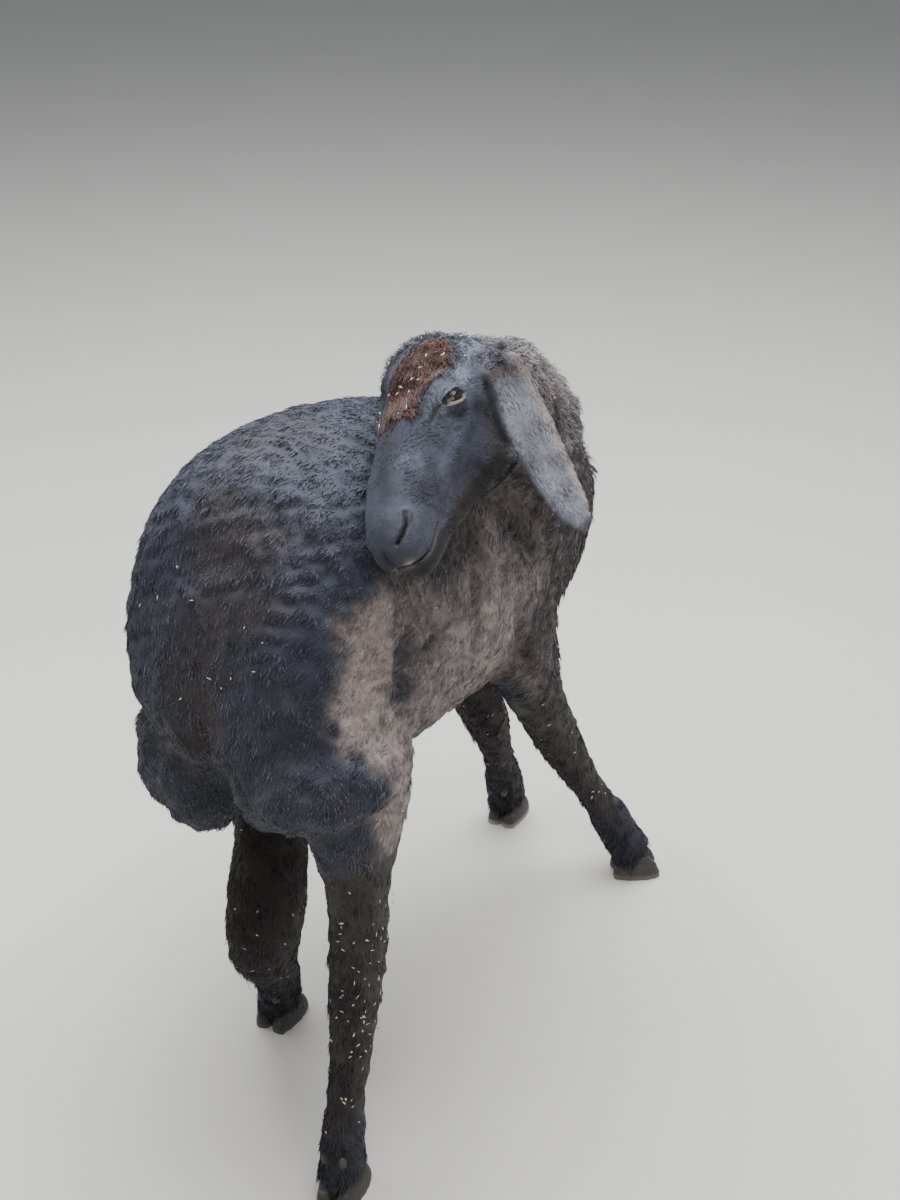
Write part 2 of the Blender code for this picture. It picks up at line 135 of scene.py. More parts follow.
TEAR_LINE = ((0.415, 0.190, -0.055), (0.450, 0.165, -0.058), (0.490, 0.140, -0.064))
CHEEK_LINE = ((0.600, 0.088, -0.323), (0.503, 0.115, -0.322), (0.440, 0.144, -0.312))
CREST_LINE = ((0.340, 0.205, -0.170), (0.450, 0.180, -0.190), (0.600, 0.130, -0.220))
# The hollow between the cheek and the front edge of an ear, the temple behind the eye, the throat
# from the ear to the chin, and the side of the nose's bridge, where shade is painted.
EAR_GAP = (
    (0.172, 0.211, -0.150),
    (0.200, 0.205, -0.190),
    (0.235, 0.195, -0.235),
    (0.274, 0.176, -0.313),
    (0.300, 0.160, -0.400),
)
TEMPLE = (0.315, 0.200, -0.198)
THROAT = (
    (0.250, 0.190, -0.250),
    (0.290, 0.165, -0.350),
    (0.400, 0.125, -0.410),
    (0.550, 0.095, -0.400),
    (0.660, 0.085, -0.390),
)
NOSE_LINE = ((0.560, 0.010, 0.000), (0.728, 0.045, -0.041), (0.848, 0.062, -0.094))
RUST_LINE = ((0.170, 0.120, 0.060), (0.300, 0.050, 0.075), (0.430, -0.020, 0.040))
# Grooves of each half of the face: the run, its depth, its half width, and how dark its painted
# shade is. A depth below 0 stands out.
FACE_GROOVES = (
    (CHEEK_LINE, 0.0045, 0.0110, 0.00),
    (CREST_LINE, -0.0028, 0.0085, 0.00),
    (TEAR_LINE, 0.0016, 0.0022, 0.45),
    (EAR_GAP, 0.0060, 0.0046, 0.90),
)
# Brown stains down the middle of the rump, over the loin and behind the withers.
STAINS = (
    ((-0.10, 0.045, 0.66), (-0.12, 0.03, 0.54)),
    ((-0.02, 0.05, 0.77), (-0.03, -0.01, 0.76)),
    ((-0.05, 0.03, 0.72), (-0.06, -0.01, 0.70)),
    ((0.05, 0.06, 0.80), (0.10, 0.05, 0.80)),
)
# The shade under the jaw, where the muzzle nearly touches the flank.
UNDER_JAW = ((0.13, -0.105, 0.69), (0.20, -0.10, 0.68))
# Folds of the body: depth, half width and the places that they run through. In order: the hollow of
# the flank, the crease and the flap before the thigh, three folds of the barrel and shoulder, the
# elbow's crease, two folds of the left hip and the parting of the rump's cushions.
FOLDS = (
    (0.014, 0.011, (
        (0.036, -0.12, 0.55), (0.040, -0.12, 0.59), (0.045, -0.12, 0.62), (0.056, -0.12, 0.65))),
    (0.017, 0.008, (
        (0.036, -0.12, 0.58), (0.056, -0.12, 0.595), (0.09, -0.12, 0.613), (0.15, -0.12, 0.613))),
    (-0.006, 0.009, ((0.050, -0.12, 0.572), (0.09, -0.12, 0.594), (0.14, -0.12, 0.594))),
    (0.010, 0.009, (
        (0.187, -0.11, 0.665), (0.187, -0.12, 0.62), (0.183, -0.12, 0.585), (0.176, -0.12, 0.54))),
    (0.009, 0.010, (
        (0.255, -0.09, 0.71), (0.290, -0.10, 0.657), (0.325, -0.105, 0.61), (0.345, -0.10, 0.57))),
    (0.004, 0.010, ((0.225, -0.10, 0.68), (0.240, -0.11, 0.63), (0.247, -0.11, 0.57))),
    (0.007, 0.014, ((0.33, -0.10, 0.44), (0.30, -0.12, 0.52), (0.26, -0.11, 0.60))),
    (0.006, 0.010, ((0.00, 0.19, 0.70), (-0.02, 0.19, 0.60), (-0.01, 0.17, 0.52))),
    (0.006, 0.010, ((0.04, 0.205, 0.72), (0.02, 0.205, 0.62), (0.03, 0.19, 0.53))),
    (0.009, 0.014, ((-0.09, 0.03, 0.58), (-0.10, 0.03, 0.50), (-0.08, 0.03, 0.43))),
)
FOLD_SHADE_FROM, FOLD_SHADE_TO = 0.002, 0.016      # depths at which a fold's painted shade starts and ends
# The middle line of each ear, and the way that its back faces.
EARS = {
    "left": (
        ((0.06, 0.16, -0.13), (0.07, 0.230, -0.19), (0.22, 0.218, -0.46), (0.37, 0.235, -0.80)),
        Vector((-0.74, 0.26, 0.62)),
    ),
    "right": (
        ((0.06, -0.16, -0.13), (-0.03, -0.25, -0.11), (-0.17, -0.31, -0.065), (-0.325, -0.455, -0.090),
         (-0.492, -0.615, -0.140)),
        Vector((0.10, 0.10, 1.00)),
    ),
}
EAR_HALF_WIDTH = 0.030


# ---------------------------------------------------------------- settings

def length_setting(name, description, default):
    """A length that a user may change, in metres."""
    return FloatProperty(name=name, description=description, default=default, unit="LENGTH")


def colour_setting(name, description, default):
    return FloatVectorProperty(name=name, description=description, default=default, subtype="COLOR")


class SheepSkinSettings(bpy.types.PropertyGroup):
    """Sizes of the skin and its folds."""

    mesh_size: length_setting("Mesh size", "Side of the skin's faces on the body", 0.0058)
    ridge_height: length_setting("Ridge height", "Height of the wavy ridges over the back", 0.0030)
    ridge_spacing: length_setting("Ridge spacing", "From one ridge to the next", 0.026)
    lid_width: length_setting("Eye opening", "Half the width between the lids' corners", 0.0150)
    lid_height: length_setting("Eye opening height", "Half the height between the lids", 0.0064)


class SheepCoatSettings(bpy.types.PropertyGroup):
    """Sizes of the wool and hair."""

    seed: IntProperty(name="Seed", description="Changes the places of the tufts", default=7)
    piece_tufts: IntProperty(
        name="Tufts in a piece",
        description="The most two-ring tufts that one coat piece holds",
        default=19000,
    )
    density: FloatProperty(
        name="Density",
        description="More than 1 sets the tufts closer together",
        default=1.0,
        subtype="FACTOR",
    )


class SheepColourSettings(bpy.types.PropertyGroup):
    """Colours of the coat and what is on it."""

    black_wool: colour_setting("Black wool", "Wool of the back", (0.028, 0.031, 0.048))
    brown_wool: colour_setting("Brown wool", "Wool of neck and legs", (0.038, 0.029, 0.027))
    pale_wool: colour_setting("Pale wool", "Worn wool of flank and thigh", (0.330, 0.272, 0.250))
    rust_hair: colour_setting("Rust hair", "Sunburnt hair of the forelock", (0.100, 0.040, 0.022))
    # Grey hair is also painted as the highlight on the brow and on the back's upper faces.
    grey_hair: colour_setting("Grey hair", "Short hair of face and ears", (0.150, 0.166, 0.202))
    horn: colour_setting("Horn", "Horn of the hooves", (0.022, 0.020, 0.020))
    straw: colour_setting("Straw", "Flecks of straw in the coat", (0.66, 0.55, 0.32))


class SheepStageSettings(bpy.types.PropertyGroup):
    """Floor, light and lens."""

    floor_colour: colour_setting("Floor", "Colour of the floor", (0.62, 0.60, 0.57))
    light_power: FloatProperty(
        name="Light",
        description="Power that the lamps share out",
        default=75.0,
        unit="POWER",
    )
    lens: FloatProperty(
        name="Lens",
        description="Focal length on a 36 mm frame",
        default=52.0,
        unit="CAMERA",
    )


# ---------------------------------------------------------------- mesh tools

def select_only(*things):
    bpy.ops.object.select_all(action="DESELECT")
    for thing in things:
        thing.select_set(True)
    bpy.context.view_layer.objects.active = things[0]


def apply_modifier(thing, kind, **settings):
    modifier = thing.modifiers.new(kind.title(), kind)
    for key, value in settings.items():
        setattr(modifier, key, value)
    select_only(thing)
    bpy.ops.object.modifier_apply(modifier=modifier.name)


def copy_of(node):
    """A copy of a CAD node's shape with its doubled points merged."""
    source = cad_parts[node]
    copy = bpy.data.objects.new(f"{node}_copy", source.data.copy())
    bpy.context.scene.collection.objects.link(copy)
    copy.data.materials.clear()
    select_only(copy)
    bpy.ops.object.mode_set(mode="EDIT")
    bpy.ops.mesh.select_all(action="SELECT")
    bpy.ops.mesh.remove_doubles(threshold=0.00001)
    bpy.ops.object.mode_set(mode="OBJECT")
    return copy


def joined(name, pieces):
    select_only(*pieces)
    bpy.ops.object.join()
    made = bpy.context.view_layer.objects.active
    made.name = made.data.name = name
    return made


def array_of(items, key, width=3, kind=np.float64):
    """What each item of a mesh holds under key, as one array."""
    out = np.empty(len(items) * width, np.float32 if kind == np.float64 else kind)
    items.foreach_get(key, out)
    out = out.astype(kind)
    return out.reshape(-1, width) if width > 1 else out


def set_points(mesh, points):
    mesh.vertices.foreach_set("co", points.astype(np.float32).ravel())
    mesh.update()


def set_attribute(mesh, name, kind, values):
    key = {"FLOAT": "value", "FLOAT_VECTOR": "vector", "FLOAT_COLOR": "color"}[kind]
    layer = mesh.attributes.get(name) or mesh.attributes.new(name, kind, "POINT")
    layer.data.foreach_set(key, values.astype(np.float32).ravel())


def shade_smooth(thing):
    thing.data.polygons.foreach_set("use_smooth", [True] * len(thing.data.polygons))


def smoothstep(low, high, values):
    """0 below low, 1 above high, and smooth between."""
    share = np.clip((values - low) / (high - low), 0.0, 1.0)
    return share * share * (3.0 - 2.0 * share)


def lengths(vectors):
    return np.sqrt((vectors * vectors).sum(-1))


def unit(vectors):
    return vectors / np.maximum(lengths(vectors), 1e-12)[..., None]


def bell(distances, width):
    """1 at distance 0, falling smoothly to 0 a few widths away."""
    return np.exp(-((distances / width) ** 2))


def distances_to(points, place):
    return lengths(points - np.array(place))


def ripple(points, wavelength, seed, waves=14):
    """Smooth noise of about -1 to 1: a sum of waves in all directions, near one wavelength."""
    chance = np.random.default_rng(seed)
    directions = unit(chance.normal(size=(waves, 3)))
    scales = 2.0 * math.pi / (wavelength * chance.uniform(0.7, 1.5, waves))
    phases = chance.uniform(0.0, 2.0 * math.pi, waves)
    return np.sin((points @ directions.T) * scales + phases).sum(1) / math.sqrt(waves)


class Web:
    """The edges of a mesh, for averaging what its vertices hold over their neighbours."""

    def __init__(self, mesh):
        ends = array_of(mesh.edges, "vertices", 2, np.int32)
        self.size = len(mesh.vertices)
        self.starts = np.concatenate([ends[:, 0], ends[:, 1]])
        self.ends = np.concatenate([ends[:, 1], ends[:, 0]])
        self.counts = np.maximum(np.bincount(self.starts, minlength=self.size), 1)

    def mean(self, values):
        columns = values.reshape(self.size, -1).T
        sums = [np.bincount(self.starts, column[self.ends], self.size) for column in columns]
        return (np.stack(sums, 1) / self.counts[:, None]).reshape(values.shape)

    def spread(self, values, rounds):
        for _ in range(rounds):
            values = 0.5 * values + 0.5 * self.mean(values)
        return values


def even_out(points, web, rounds, share):
    """Smooths flat facets away without shrinking the form. share is how much each vertex takes."""
    shrink, grow = 0.50, -0.53
    for _ in range(rounds):
        for step in (shrink, grow):
            points = points + step * share[:, None] * (web.mean(points) - points)
    return points


def distance_to_run(points, run):
    """The distance of each point from a run, and how far along the run it is nearest, 0 to 1."""
    best = np.full(len(points), 1e9)
    along = np.zeros(len(points))
    run = np.array(run, float)
    for index, (start, end) in enumerate(zip(run, run[1:])):
        way = end - start
        share = np.clip((points - start) @ way / (way @ way), 0.0, 1.0)
        away = lengths(points - start - share[:, None] * way)
        nearer = away < best
        best[nearer] = away[nearer]
        along[nearer] = (index + share[nearer]) / (len(run) - 1)
    return best, along


# ---------------------------------------------------------------- shader tools

class Value:
    """A shader value. Reckoning with it adds Math nodes."""

    def __init__(self, paint, socket):
        self.paint = paint
        self.socket = socket

    def __add__(self, other):
        return self.paint.math("ADD", self, other)

    def __radd__(self, other):
        return self.paint.math("ADD", other, self)

    def __sub__(self, other):
        return self.paint.math("SUBTRACT", self, other)

    def __rsub__(self, other):
        return self.paint.math("SUBTRACT", other, self)

    def __mul__(self, other):
        return self.paint.math("MULTIPLY", self, other)

    def __rmul__(self, other):
        return self.paint.math("MULTIPLY", other, self)

    def __truediv__(self, other):
        return self.paint.math("DIVIDE", self, other)

    def __pow__(self, other):
        return self.paint.math("POWER", self, other)

    def clamped(self):
        return self.paint.math("ADD", self, 0.0, clamp=True)

    def between(self, low, high):
        """0 below low, 1 above high, and smooth between."""
        sockets = {0: self, 1: low, 2: high, 3: 0.0, 4: 1.0}
        made = self.paint.node("ShaderNodeMapRange", {"interpolation_type": "SMOOTHSTEP"}, sockets)
        return Value(self.paint, made.outputs[0])


class Paint:
    """One material and the nodes in it."""

    def __init__(self, name, plain=None):
        self.material = bpy.data.materials.new(name)
        self.material.use_nodes = True
        self.tree = self.material.node_tree
        self.shader = self.tree.nodes["Principled BSDF"]
        for socket, value in (plain or {}).items():
            self.shader.inputs[socket].default_value = value

    def node(self, kind, settings=None, inputs=None):
        made = self.tree.nodes.new(kind)
        for key, value in (settings or {}).items():
            setattr(made, key, value)
        for key, value in (inputs or {}).items():
            self.feed(made.inputs[key], value)
        return made

    def feed(self, socket, value):
        if isinstance(value, Value):
            self.tree.links.new(value.socket, socket)
        elif socket.type == "RGBA" and len(value) == 3:
            socket.default_value = (*value, 1.0)
        else:
            socket.default_value = value

    def math(self, operation, first, second, clamp=False):
        settings = {"operation": operation, "use_clamp": clamp}
        made = self.node("ShaderNodeMath", settings, {0: first, 1: second})
        return Value(self, made.outputs[0])

    def mix(self, first, second, share):
        made = self.node("ShaderNodeMix", {"data_type": "RGBA"}, {0: share, 6: first, 7: second})
        return Value(self, made.outputs[2])

    def scaled(self, colour, amount):
        made = self.node("ShaderNodeVectorMath", {"operation": "SCALE"}, {0: colour, 3: amount})
        return Value(self, made.outputs[0])

    def place(self, scale=(1.0, 1.0, 1.0)):
        coordinates = Value(self, self.node("ShaderNodeTexCoord").outputs["Object"])
        made = self.node("ShaderNodeMapping", None, {0: coordinates, 3: scale})
        return Value(self, made.outputs[0])

    def noise(self, place, scale, detail=3.0, roughness=0.55):
        sockets = {"Vector": place, "Scale": scale, "Detail": detail, "Roughness": roughness}
        made = self.node("ShaderNodeTexNoise", None, sockets)
        return Value(self, made.outputs[0])

    def channels(self, attribute):
        """The three channels and the last one of a colour attribute."""
        made = self.node("ShaderNodeAttribute", {"attribute_name": attribute})
        parted = self.node("ShaderNodeSeparateColor", None, {0: Value(self, made.outputs["Color"])})
        return [Value(self, output) for output in (*parted.outputs, made.outputs["Alpha"])]

    def bump(self, height, distance, strength=1.0):
        sockets = {"Strength": strength, "Distance": distance, "Height": height}
        made = self.node("ShaderNodeBump", None, sockets)
        self.feed(self.shader.inputs["Normal"], Value(self, made.outputs[0]))

    def finish(self, colour=None, roughness=None):
        if colour is not None:
            self.feed(self.shader.inputs["Base Color"], colour)
        if roughness is not None:
            self.feed(self.shader.inputs["Roughness"], roughness)
        return self.material


# ---------------------------------------------------------------- coat materials

DEEPEST_SHADE = 0.78            # how much of its light the deepest painted shade takes from a colour
SHEEN = {"wool": 0.28, "hair": 0.06}
BARE_GREY = (0.030, 0.031, 0.035)      # bare skin round lids, nostrils and lips
# Painted shade of grooves, slits, holes and eye sockets, and the dark rims of the upper lids.
SHADE_AND_RIM_BLACK = (0.007, 0.006, 0.007)
LIP_CREAM = (0.46, 0.37, 0.25)


def clouds_of(paint, place):
    """How the coat's colour darkens and lightens from one finger's breadth to the next."""
    return 0.10 + paint.noise(place, 48.0, 3.0, 0.6) * 1.85


def coat_colour_and_painted_light(paint, place):
    """The colour that skin and coat share: black, brown, pale, rust and grey by the markings."""
    colours = bpy.context.scene.sheep_colours
    # The markings hold painted shade and painted highlights too, and carry them into the colour.
    brown_and_shade, pale, rust, grey_and_highlight = paint.channels("markings")
    patches = paint.noise(place, 26.0, 4.0, 0.6)
    specks = paint.noise(place, 210.0, 2.0, 0.5)
    browned = (brown_and_shade + (patches - 0.5) * 0.9).clamped()
    colour = paint.mix(colours.black_wool, colours.brown_wool, browned)
    colour = paint.mix(colour, colours.grey_hair, (grey_and_highlight * (0.55 + patches * 0.9)).clamped())
    colour = paint.mix(colour, colours.pale_wool, (pale * (0.35 + specks * 1.3)).clamped())
    return paint.mix(colour, colours.rust_hair, (rust * (0.6 + specks * 0.8)).clamped())


def coat_material(kind):
    """Tufts of wool or hair: darker at their roots, each a little lighter or darker than the next."""
    if kind in bpy.data.materials:
        return bpy.data.materials[kind]
    plain = {
        "Specular IOR Level": 0.22,
        "Sheen Weight": SHEEN[kind],
        "Sheen Roughness": 0.45,
        "Sheen Tint": (0.80, 0.84, 1.0, 1.0),
    }
    paint = Paint(kind, plain)
    place = paint.place()
    colour = coat_colour_and_painted_light(paint, place)
    # Darker at the roots, partly lighter tips and partly painted shade between the tufts; deep is the
    # painted shade of the skin under each tuft.
    along, chance, clump, deep = paint.channels("tuft")
    shade = (0.62 + along * 0.42) * (0.82 + chance * 0.36) * (0.56 + clump * 0.88)
    shade = shade * clouds_of(paint, place)
    fibres = paint.noise(paint.place((1.0, 1.0, 0.35)), 1500.0, 1.0)
    shade = shade * (0.8 + fibres * 0.4) * (1.0 - deep * DEEPEST_SHADE)
    return paint.finish(paint.scaled(colour, shade), 0.82 - along * 0.12)


def skin_material():
    """Skin under the coat, with the same markings and the finest hair as bump."""
    plain = {"Specular IOR Level": 0.25, "Sheen Weight": 0.05, "Sheen Roughness": 0.5}
    paint = Paint("skin", plain)
    place = paint.place()
    colour = coat_colour_and_painted_light(paint, place)
    # dark is painted shade in grooves, holes and eye sockets, with the dark lid rims; deep is the
    # coat's painted shade.
    bare, dark, cream, deep = paint.channels("bare")
    hairs = paint.noise(place, 900.0, 2.0, 0.6)
    clumps = paint.noise(place, 300.0, 2.0)
    shade = (0.34 + hairs * 0.62 + clumps * 0.36) * clouds_of(paint, place)
    colour = paint.scaled(colour, shade * (1.0 - deep * DEEPEST_SHADE))
    colour = paint.mix(colour, BARE_GREY, (bare * 0.85).clamped())
    colour = paint.mix(colour, SHADE_AND_RIM_BLACK, dark)
    colour = paint.mix(colour, LIP_CREAM, cream)
    paint.bump(hairs * (1.0 - bare * 0.6) + clumps * 0.6, 0.0011, 0.7)
    return paint.finish(colour, 0.66 - bare * 0.26)


# ---------------------------------------------------------------- skin

REGIONS = ("trunk", "tail", "neck", "leg", "head", "ear")
# How far the skin lies inside the tips of the coat.
COAT_DEPTH = {
    "trunk": 0.0042,
    "tail": 0.0046,
    "neck": 0.0110,
    "leg": 0.0028,
    "head": 0.0016,
    "ear": 0.0012,
}
CUT_OVERLAP = 0.0010      # the flesh solids are swollen by this much, so that they fuse
EAR_SWELLING = 0.0024     # more, so that the thin edges of the ears outlast the smoothing
BORDER_ROUNDS = 12        # how often the regions' borders are softened
SMOOTHING_ROUNDS = 22
HEAD_MIDDLE = (0.50, 0.0, -0.18)
HEAD_REACH = 0.60 * HEAD_LENGTH        # round the head's middle, where the mesh is finer
FEATURE_REACH = 0.011                  # round eyes, nostrils and mouth, where it is finer still
EDGE_REACH = 0.002                     # right at their edges, where it is finest
UNWRAP_NAME = "skin_unwrap"
UNWRAP_TRIANGLES = 9000


def shares_of(weights, *regions):
    """How much each point belongs to each of those regions."""
    return [weights[:, REGIONS.index(region)] for region in regions]


class Skin:
    """The skin's arrays: its points and normals, and the web of its edges."""

    def __init__(self, thing):
        self.mesh = thing.data
        self.points = array_of(self.mesh.vertices, "co")
        self.normals = array_of(self.mesh.vertices, "normal")
        self.web = Web(self.mesh)

    def region_weights(self):
        """How much each vertex belongs to each region, softened over the borders."""
        marks = []
        for node, region in FLESH_NODES.items():
            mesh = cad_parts[node].data
            corners = array_of(mesh.vertices, "co")
            centres = array_of(mesh.polygons, "center")
            index = REGIONS.index(region)
            marks += [(point, index) for point in np.concatenate([corners, centres])]
        tree = KDTree(len(marks))
        for index, (point, _) in enumerate(marks):
            tree.insert(point, index)
        tree.balance()
        weights = np.zeros((len(self.points), len(REGIONS)))
        for index, point in enumerate(self.points):
            weights[index, marks[tree.find(point)[1]][1]] = 1.0
        return self.web.spread(weights, BORDER_ROUNDS)


def fused_flesh():
    """The flesh solids as one closed skin of even quads."""
    copies = []
    for node in (*FLESH_NODES, *(f"eye_{side}" for side in SIDES)):
        copy = copy_of(node)
        swelling = EAR_SWELLING if FLESH_NODES.get(node) == "ear" else CUT_OVERLAP
        apply_modifier(copy, "DISPLACE", strength=swelling, mid_level=0.0)
        copies.append(copy)
    body = joined("skin", copies)
    face = bpy.context.scene.sheep_skin.mesh_size
    apply_modifier(body, "REMESH", mode="VOXEL", voxel_size=face, use_smooth_shade=True)
    return keep_largest(body)


def keep_largest(body):
    """Deletes every loose bit of a mesh but the largest."""
    select_only(body)
    bpy.ops.object.mode_set(mode="EDIT")
    bpy.ops.mesh.select_all(action="SELECT")
    bpy.ops.mesh.separate(type="LOOSE")
    bpy.ops.object.mode_set(mode="OBJECT")
    bits = sorted(bpy.context.selected_objects, key=lambda bit: len(bit.data.polygons))
    name = body.name
    for bit in bits[:-1]:
        bpy.data.objects.remove(bit)
    bits[-1].name = bits[-1].data.name = name
    return bits[-1]


def subdivide_where(thing, chosen):
    """Cuts each chosen face in four. chosen takes the faces' centres."""
    select_only(thing)
    inside = chosen(array_of(thing.data.polygons, "center"))
    bpy.ops.object.mode_set(mode="EDIT")
    bpy.ops.mesh.select_all(action="DESELECT")
    bpy.ops.object.mode_set(mode="OBJECT")
    thing.data.polygons.foreach_set("select", inside)
    bpy.ops.object.mode_set(mode="EDIT")
    bpy.ops.mesh.select_mode(type="FACE")
    bpy.ops.mesh.subdivide(number_cuts=1)
    bpy.ops.object.mode_set(mode="OBJECT")


def near_features(reach):
    """A test for points within reach of an eye, a nostril or the mouth."""
    runs = [mirrored(run, side) for run in (NOSTRIL, MOUTH, TEAR_LINE) for side in SIDES.values()]

    def test(points):
        found = np.zeros(len(points), bool)
        for side in SIDES.values():
            found |= distances_to(points, eye_centre(side)) < reach + 1.35 * EYE_RADIUS
        for run in runs:
            found |= distance_to_run(points, run)[0] < reach
        return found

    return test


def eye_centre(side):
    return on_half(EYE_PLACE, side)


def head_way(shares, side):
    """A direction on the left half of the head, or with side -1 on the right half."""
    forward, left, top = shares
    return HEAD_FORWARD * forward + HEAD_LEFT * left * side + HEAD_TOP * top


def eye_axes(side):
    """Three ways of an eye: to its inner corner, up its lids, and out where it looks."""
    out = head_way(EYE_AXIS, side).normalized()
    inner = head_way(LID_AXIS, side)
    inner = (inner - out * inner.dot(out)).normalized()
    return np.array([inner, inner.cross(out) * side, out])


LID_REACH = 0.030         # from the middle of the eye, beyond which its lids change nothing
LID_RIM = 0.0007          # how far the lids' edges stand out
LID_CREASE = 0.0013       # how deep the crease over the upper lid is
LID_BLEND = 0.0018        # over which a lid's ball runs into the socket
EYE_SOCKET = 0.70         # how deep the skin lies behind the eyeball, in shares of its radius


def open_lids(points, side):
    """Lays lids over an eye and opens them to an almond, with the skin sunk behind the eyeball.

    It gives the points, the lids' rims, what is sunk, and the rim of the lower lid.
    """
    settings = bpy.context.scene.sheep_skin
    centre, axes = np.array(eye_centre(side)), eye_axes(side)
    local = (points - centre) @ axes.T
    reach = lengths(local)
    across, rise, out = (unit(local) * LID_RADIUS * EYE_RADIUS).T
    taper = np.sqrt(np.clip(1.0 - (across / settings.lid_width) ** 2, 0.0, 1.0))
    upper, lower = settings.lid_height, settings.lid_height * 0.95
    edge = np.where(rise > 0, upper, lower) * np.maximum(taper, 0.02) ** 0.8
    inside = np.maximum(np.abs(rise) / edge, np.abs(across) / settings.lid_width)
    outward = lengths(local[:, :2]) / EYE_RADIUS
    lid = EYE_RADIUS * LID_RADIUS + LID_RIM * bell(inside - 1.18, 0.22)
    crease = LID_CREASE * bell(inside - 2.15, 0.25) * (rise > 0)
    cover = 1.0 - smoothstep(0.95, 1.55, outward)
    proud = 0.5 * (reach + lid + np.sqrt((reach - lid) ** 2 + LID_BLEND ** 2))
    beyond = smoothstep(1.15, 2.1, inside)
    wanted = reach * (1.0 - cover) + (lid * (1.0 - beyond) + proud * beyond - crease) * cover
    near = (reach < LID_REACH) & (out > 0.0)
    sunk = (1.0 - smoothstep(0.92, 1.06, inside)) * near
    wanted = wanted * (1.0 - sunk) + EYE_SOCKET * EYE_RADIUS * sunk
    moved = points.copy()
    moved[near] = centre + unit(local[near]) * wanted[near, None] @ axes
    rim = bell(inside - 1.05, 0.16) * (out > 0.0) * (reach < 0.022)
    return moved, rim, sunk, rim * (rise < 0.0)


def laid(run, pieces=8):
    """A run of points brought onto the skin, with pieces to each stretch."""
    skin = bpy.data.objects["skin"]
    spots = [start.lerp(end, k / pieces) for start, end in zip(run, run[1:]) for k in range(pieces)]
    return [skin.closest_point_on_mesh(spot)[1] for spot in (*spots, run[-1])]


def mirrored(run, side):
    """A run of the head's left half on the skin, or with side -1 its mirror image."""
    return laid([on_half(place, side) for place in run])


def nearer_side(points, run):
    """How far each point is from a run of the head's left half or from its mirror image."""
    return np.minimum(*(distance_to_run(points, mirrored(run, side))[0] for side in SIDES.values()))


NOSTRIL_RIM = (0.0016, 0.0042, 0.0024)     # height, how far from the slit, and width
NOSTRIL_SLIT = (0.0050, 0.0015)            # depth and half width
NOSTRIL_HOLE = (0.0030, 0.0021)
MOUTH_SLIT = (0.0042, 0.0017)
PHILTRUM_SLIT = (0.0022, 0.0022)
TEMPLE_HOLLOW = (0.0030, 0.010)


class Face:
    """The face while it is shaped: its points, and how bare, dark and cream each one is."""

    def __init__(self, points, normals):
        self.points = points
        self.normals = normals
        # dark is painted shade in grooves, slits, holes and the eye sockets, and the dark rims of the
        # lids.
        self.bare, self.dark, self.cream = np.zeros((3, len(points)))

    def mark(self, kind, share):
        setattr(self, kind, np.maximum(getattr(self, kind), share))

    def raise_by(self, heights):
        self.points = self.points + self.normals * heights[:, None]

    def groove(self, run, depth, width, darkness):
        """Sinks a groove of that depth and half width along a run, with painted shade in it."""
        away, along = distance_to_run(self.points, run)
        ends = smoothstep(0.0, 0.12, along) * smoothstep(0.0, 0.12, 1.0 - along)
        share = bell(away, width) * (0.35 + 0.65 * ends)
        self.raise_by(-depth * share)
        self.mark("dark", darkness * share)

    def nostril(self, side):
        """A slit with a rim over it and a hole at its middle, both with painted shade in them."""
        height, off, width = NOSTRIL_RIM
        rim, _ = distance_to_run(self.points, mirrored(NOSTRIL, side))
        pocket = np.array(on_half(NOSTRIL_POCKET, side))
        over = smoothstep(-0.003, 0.003, (self.points - pocket) @ np.array(HEAD_TOP))
        self.raise_by(height * over * bell(rim - off, width))
        depth, width = NOSTRIL_SLIT
        rim, along = distance_to_run(self.points, mirrored(NOSTRIL, side))
        share = bell(rim, width) * smoothstep(-0.10, 0.45, along)
        self.raise_by(-depth * share)
        self.mark("bare", bell(rim, 0.0055))
        self.mark("dark", share)
        depth, width = NOSTRIL_HOLE
        share = bell(distances_to(self.points, pocket), width)
        self.raise_by(-depth * share)
        self.mark("dark", share)

    def half(self, side):
        """Shapes the cheek, the temple, the nostril, the mouth and the lids of one side."""
        for run, depth, width, darkness in FACE_GROOVES:
            self.groove(mirrored(run, side), depth, width, darkness)
        depth, width = TEMPLE_HOLLOW
        self.raise_by(-depth * bell(distances_to(self.points, on_half(TEMPLE, side)), width))
        self.nostril(side)
        self.groove(mirrored(MOUTH, side), *MOUTH_SLIT, 0.85)
        lip, _ = distance_to_run(self.points, mirrored(MOUTH, side))
        self.mark("bare", 0.8 * bell(lip, 0.006))
        self.points, rim, sunk, below = open_lids(self.points, side)
        self.mark("bare", rim)
        # Painted shade in the socket behind the eyeball, and the dark rim of the upper lid.
        self.mark("dark", np.maximum(sunk, 0.8 * rim * (1.0 - 0.9 * below)))
        self.mark("cream", 0.12 * below)

    def shape(self):
        for side in SIDES.values():
            self.half(side)
        self.mark("cream", bell(distances_to(self.points, on_head(*LIP_SPOT)), 0.0055))
        self.groove(laid([on_head(*place) for place in PHILTRUM]), *PHILTRUM_SLIT, 0.5)


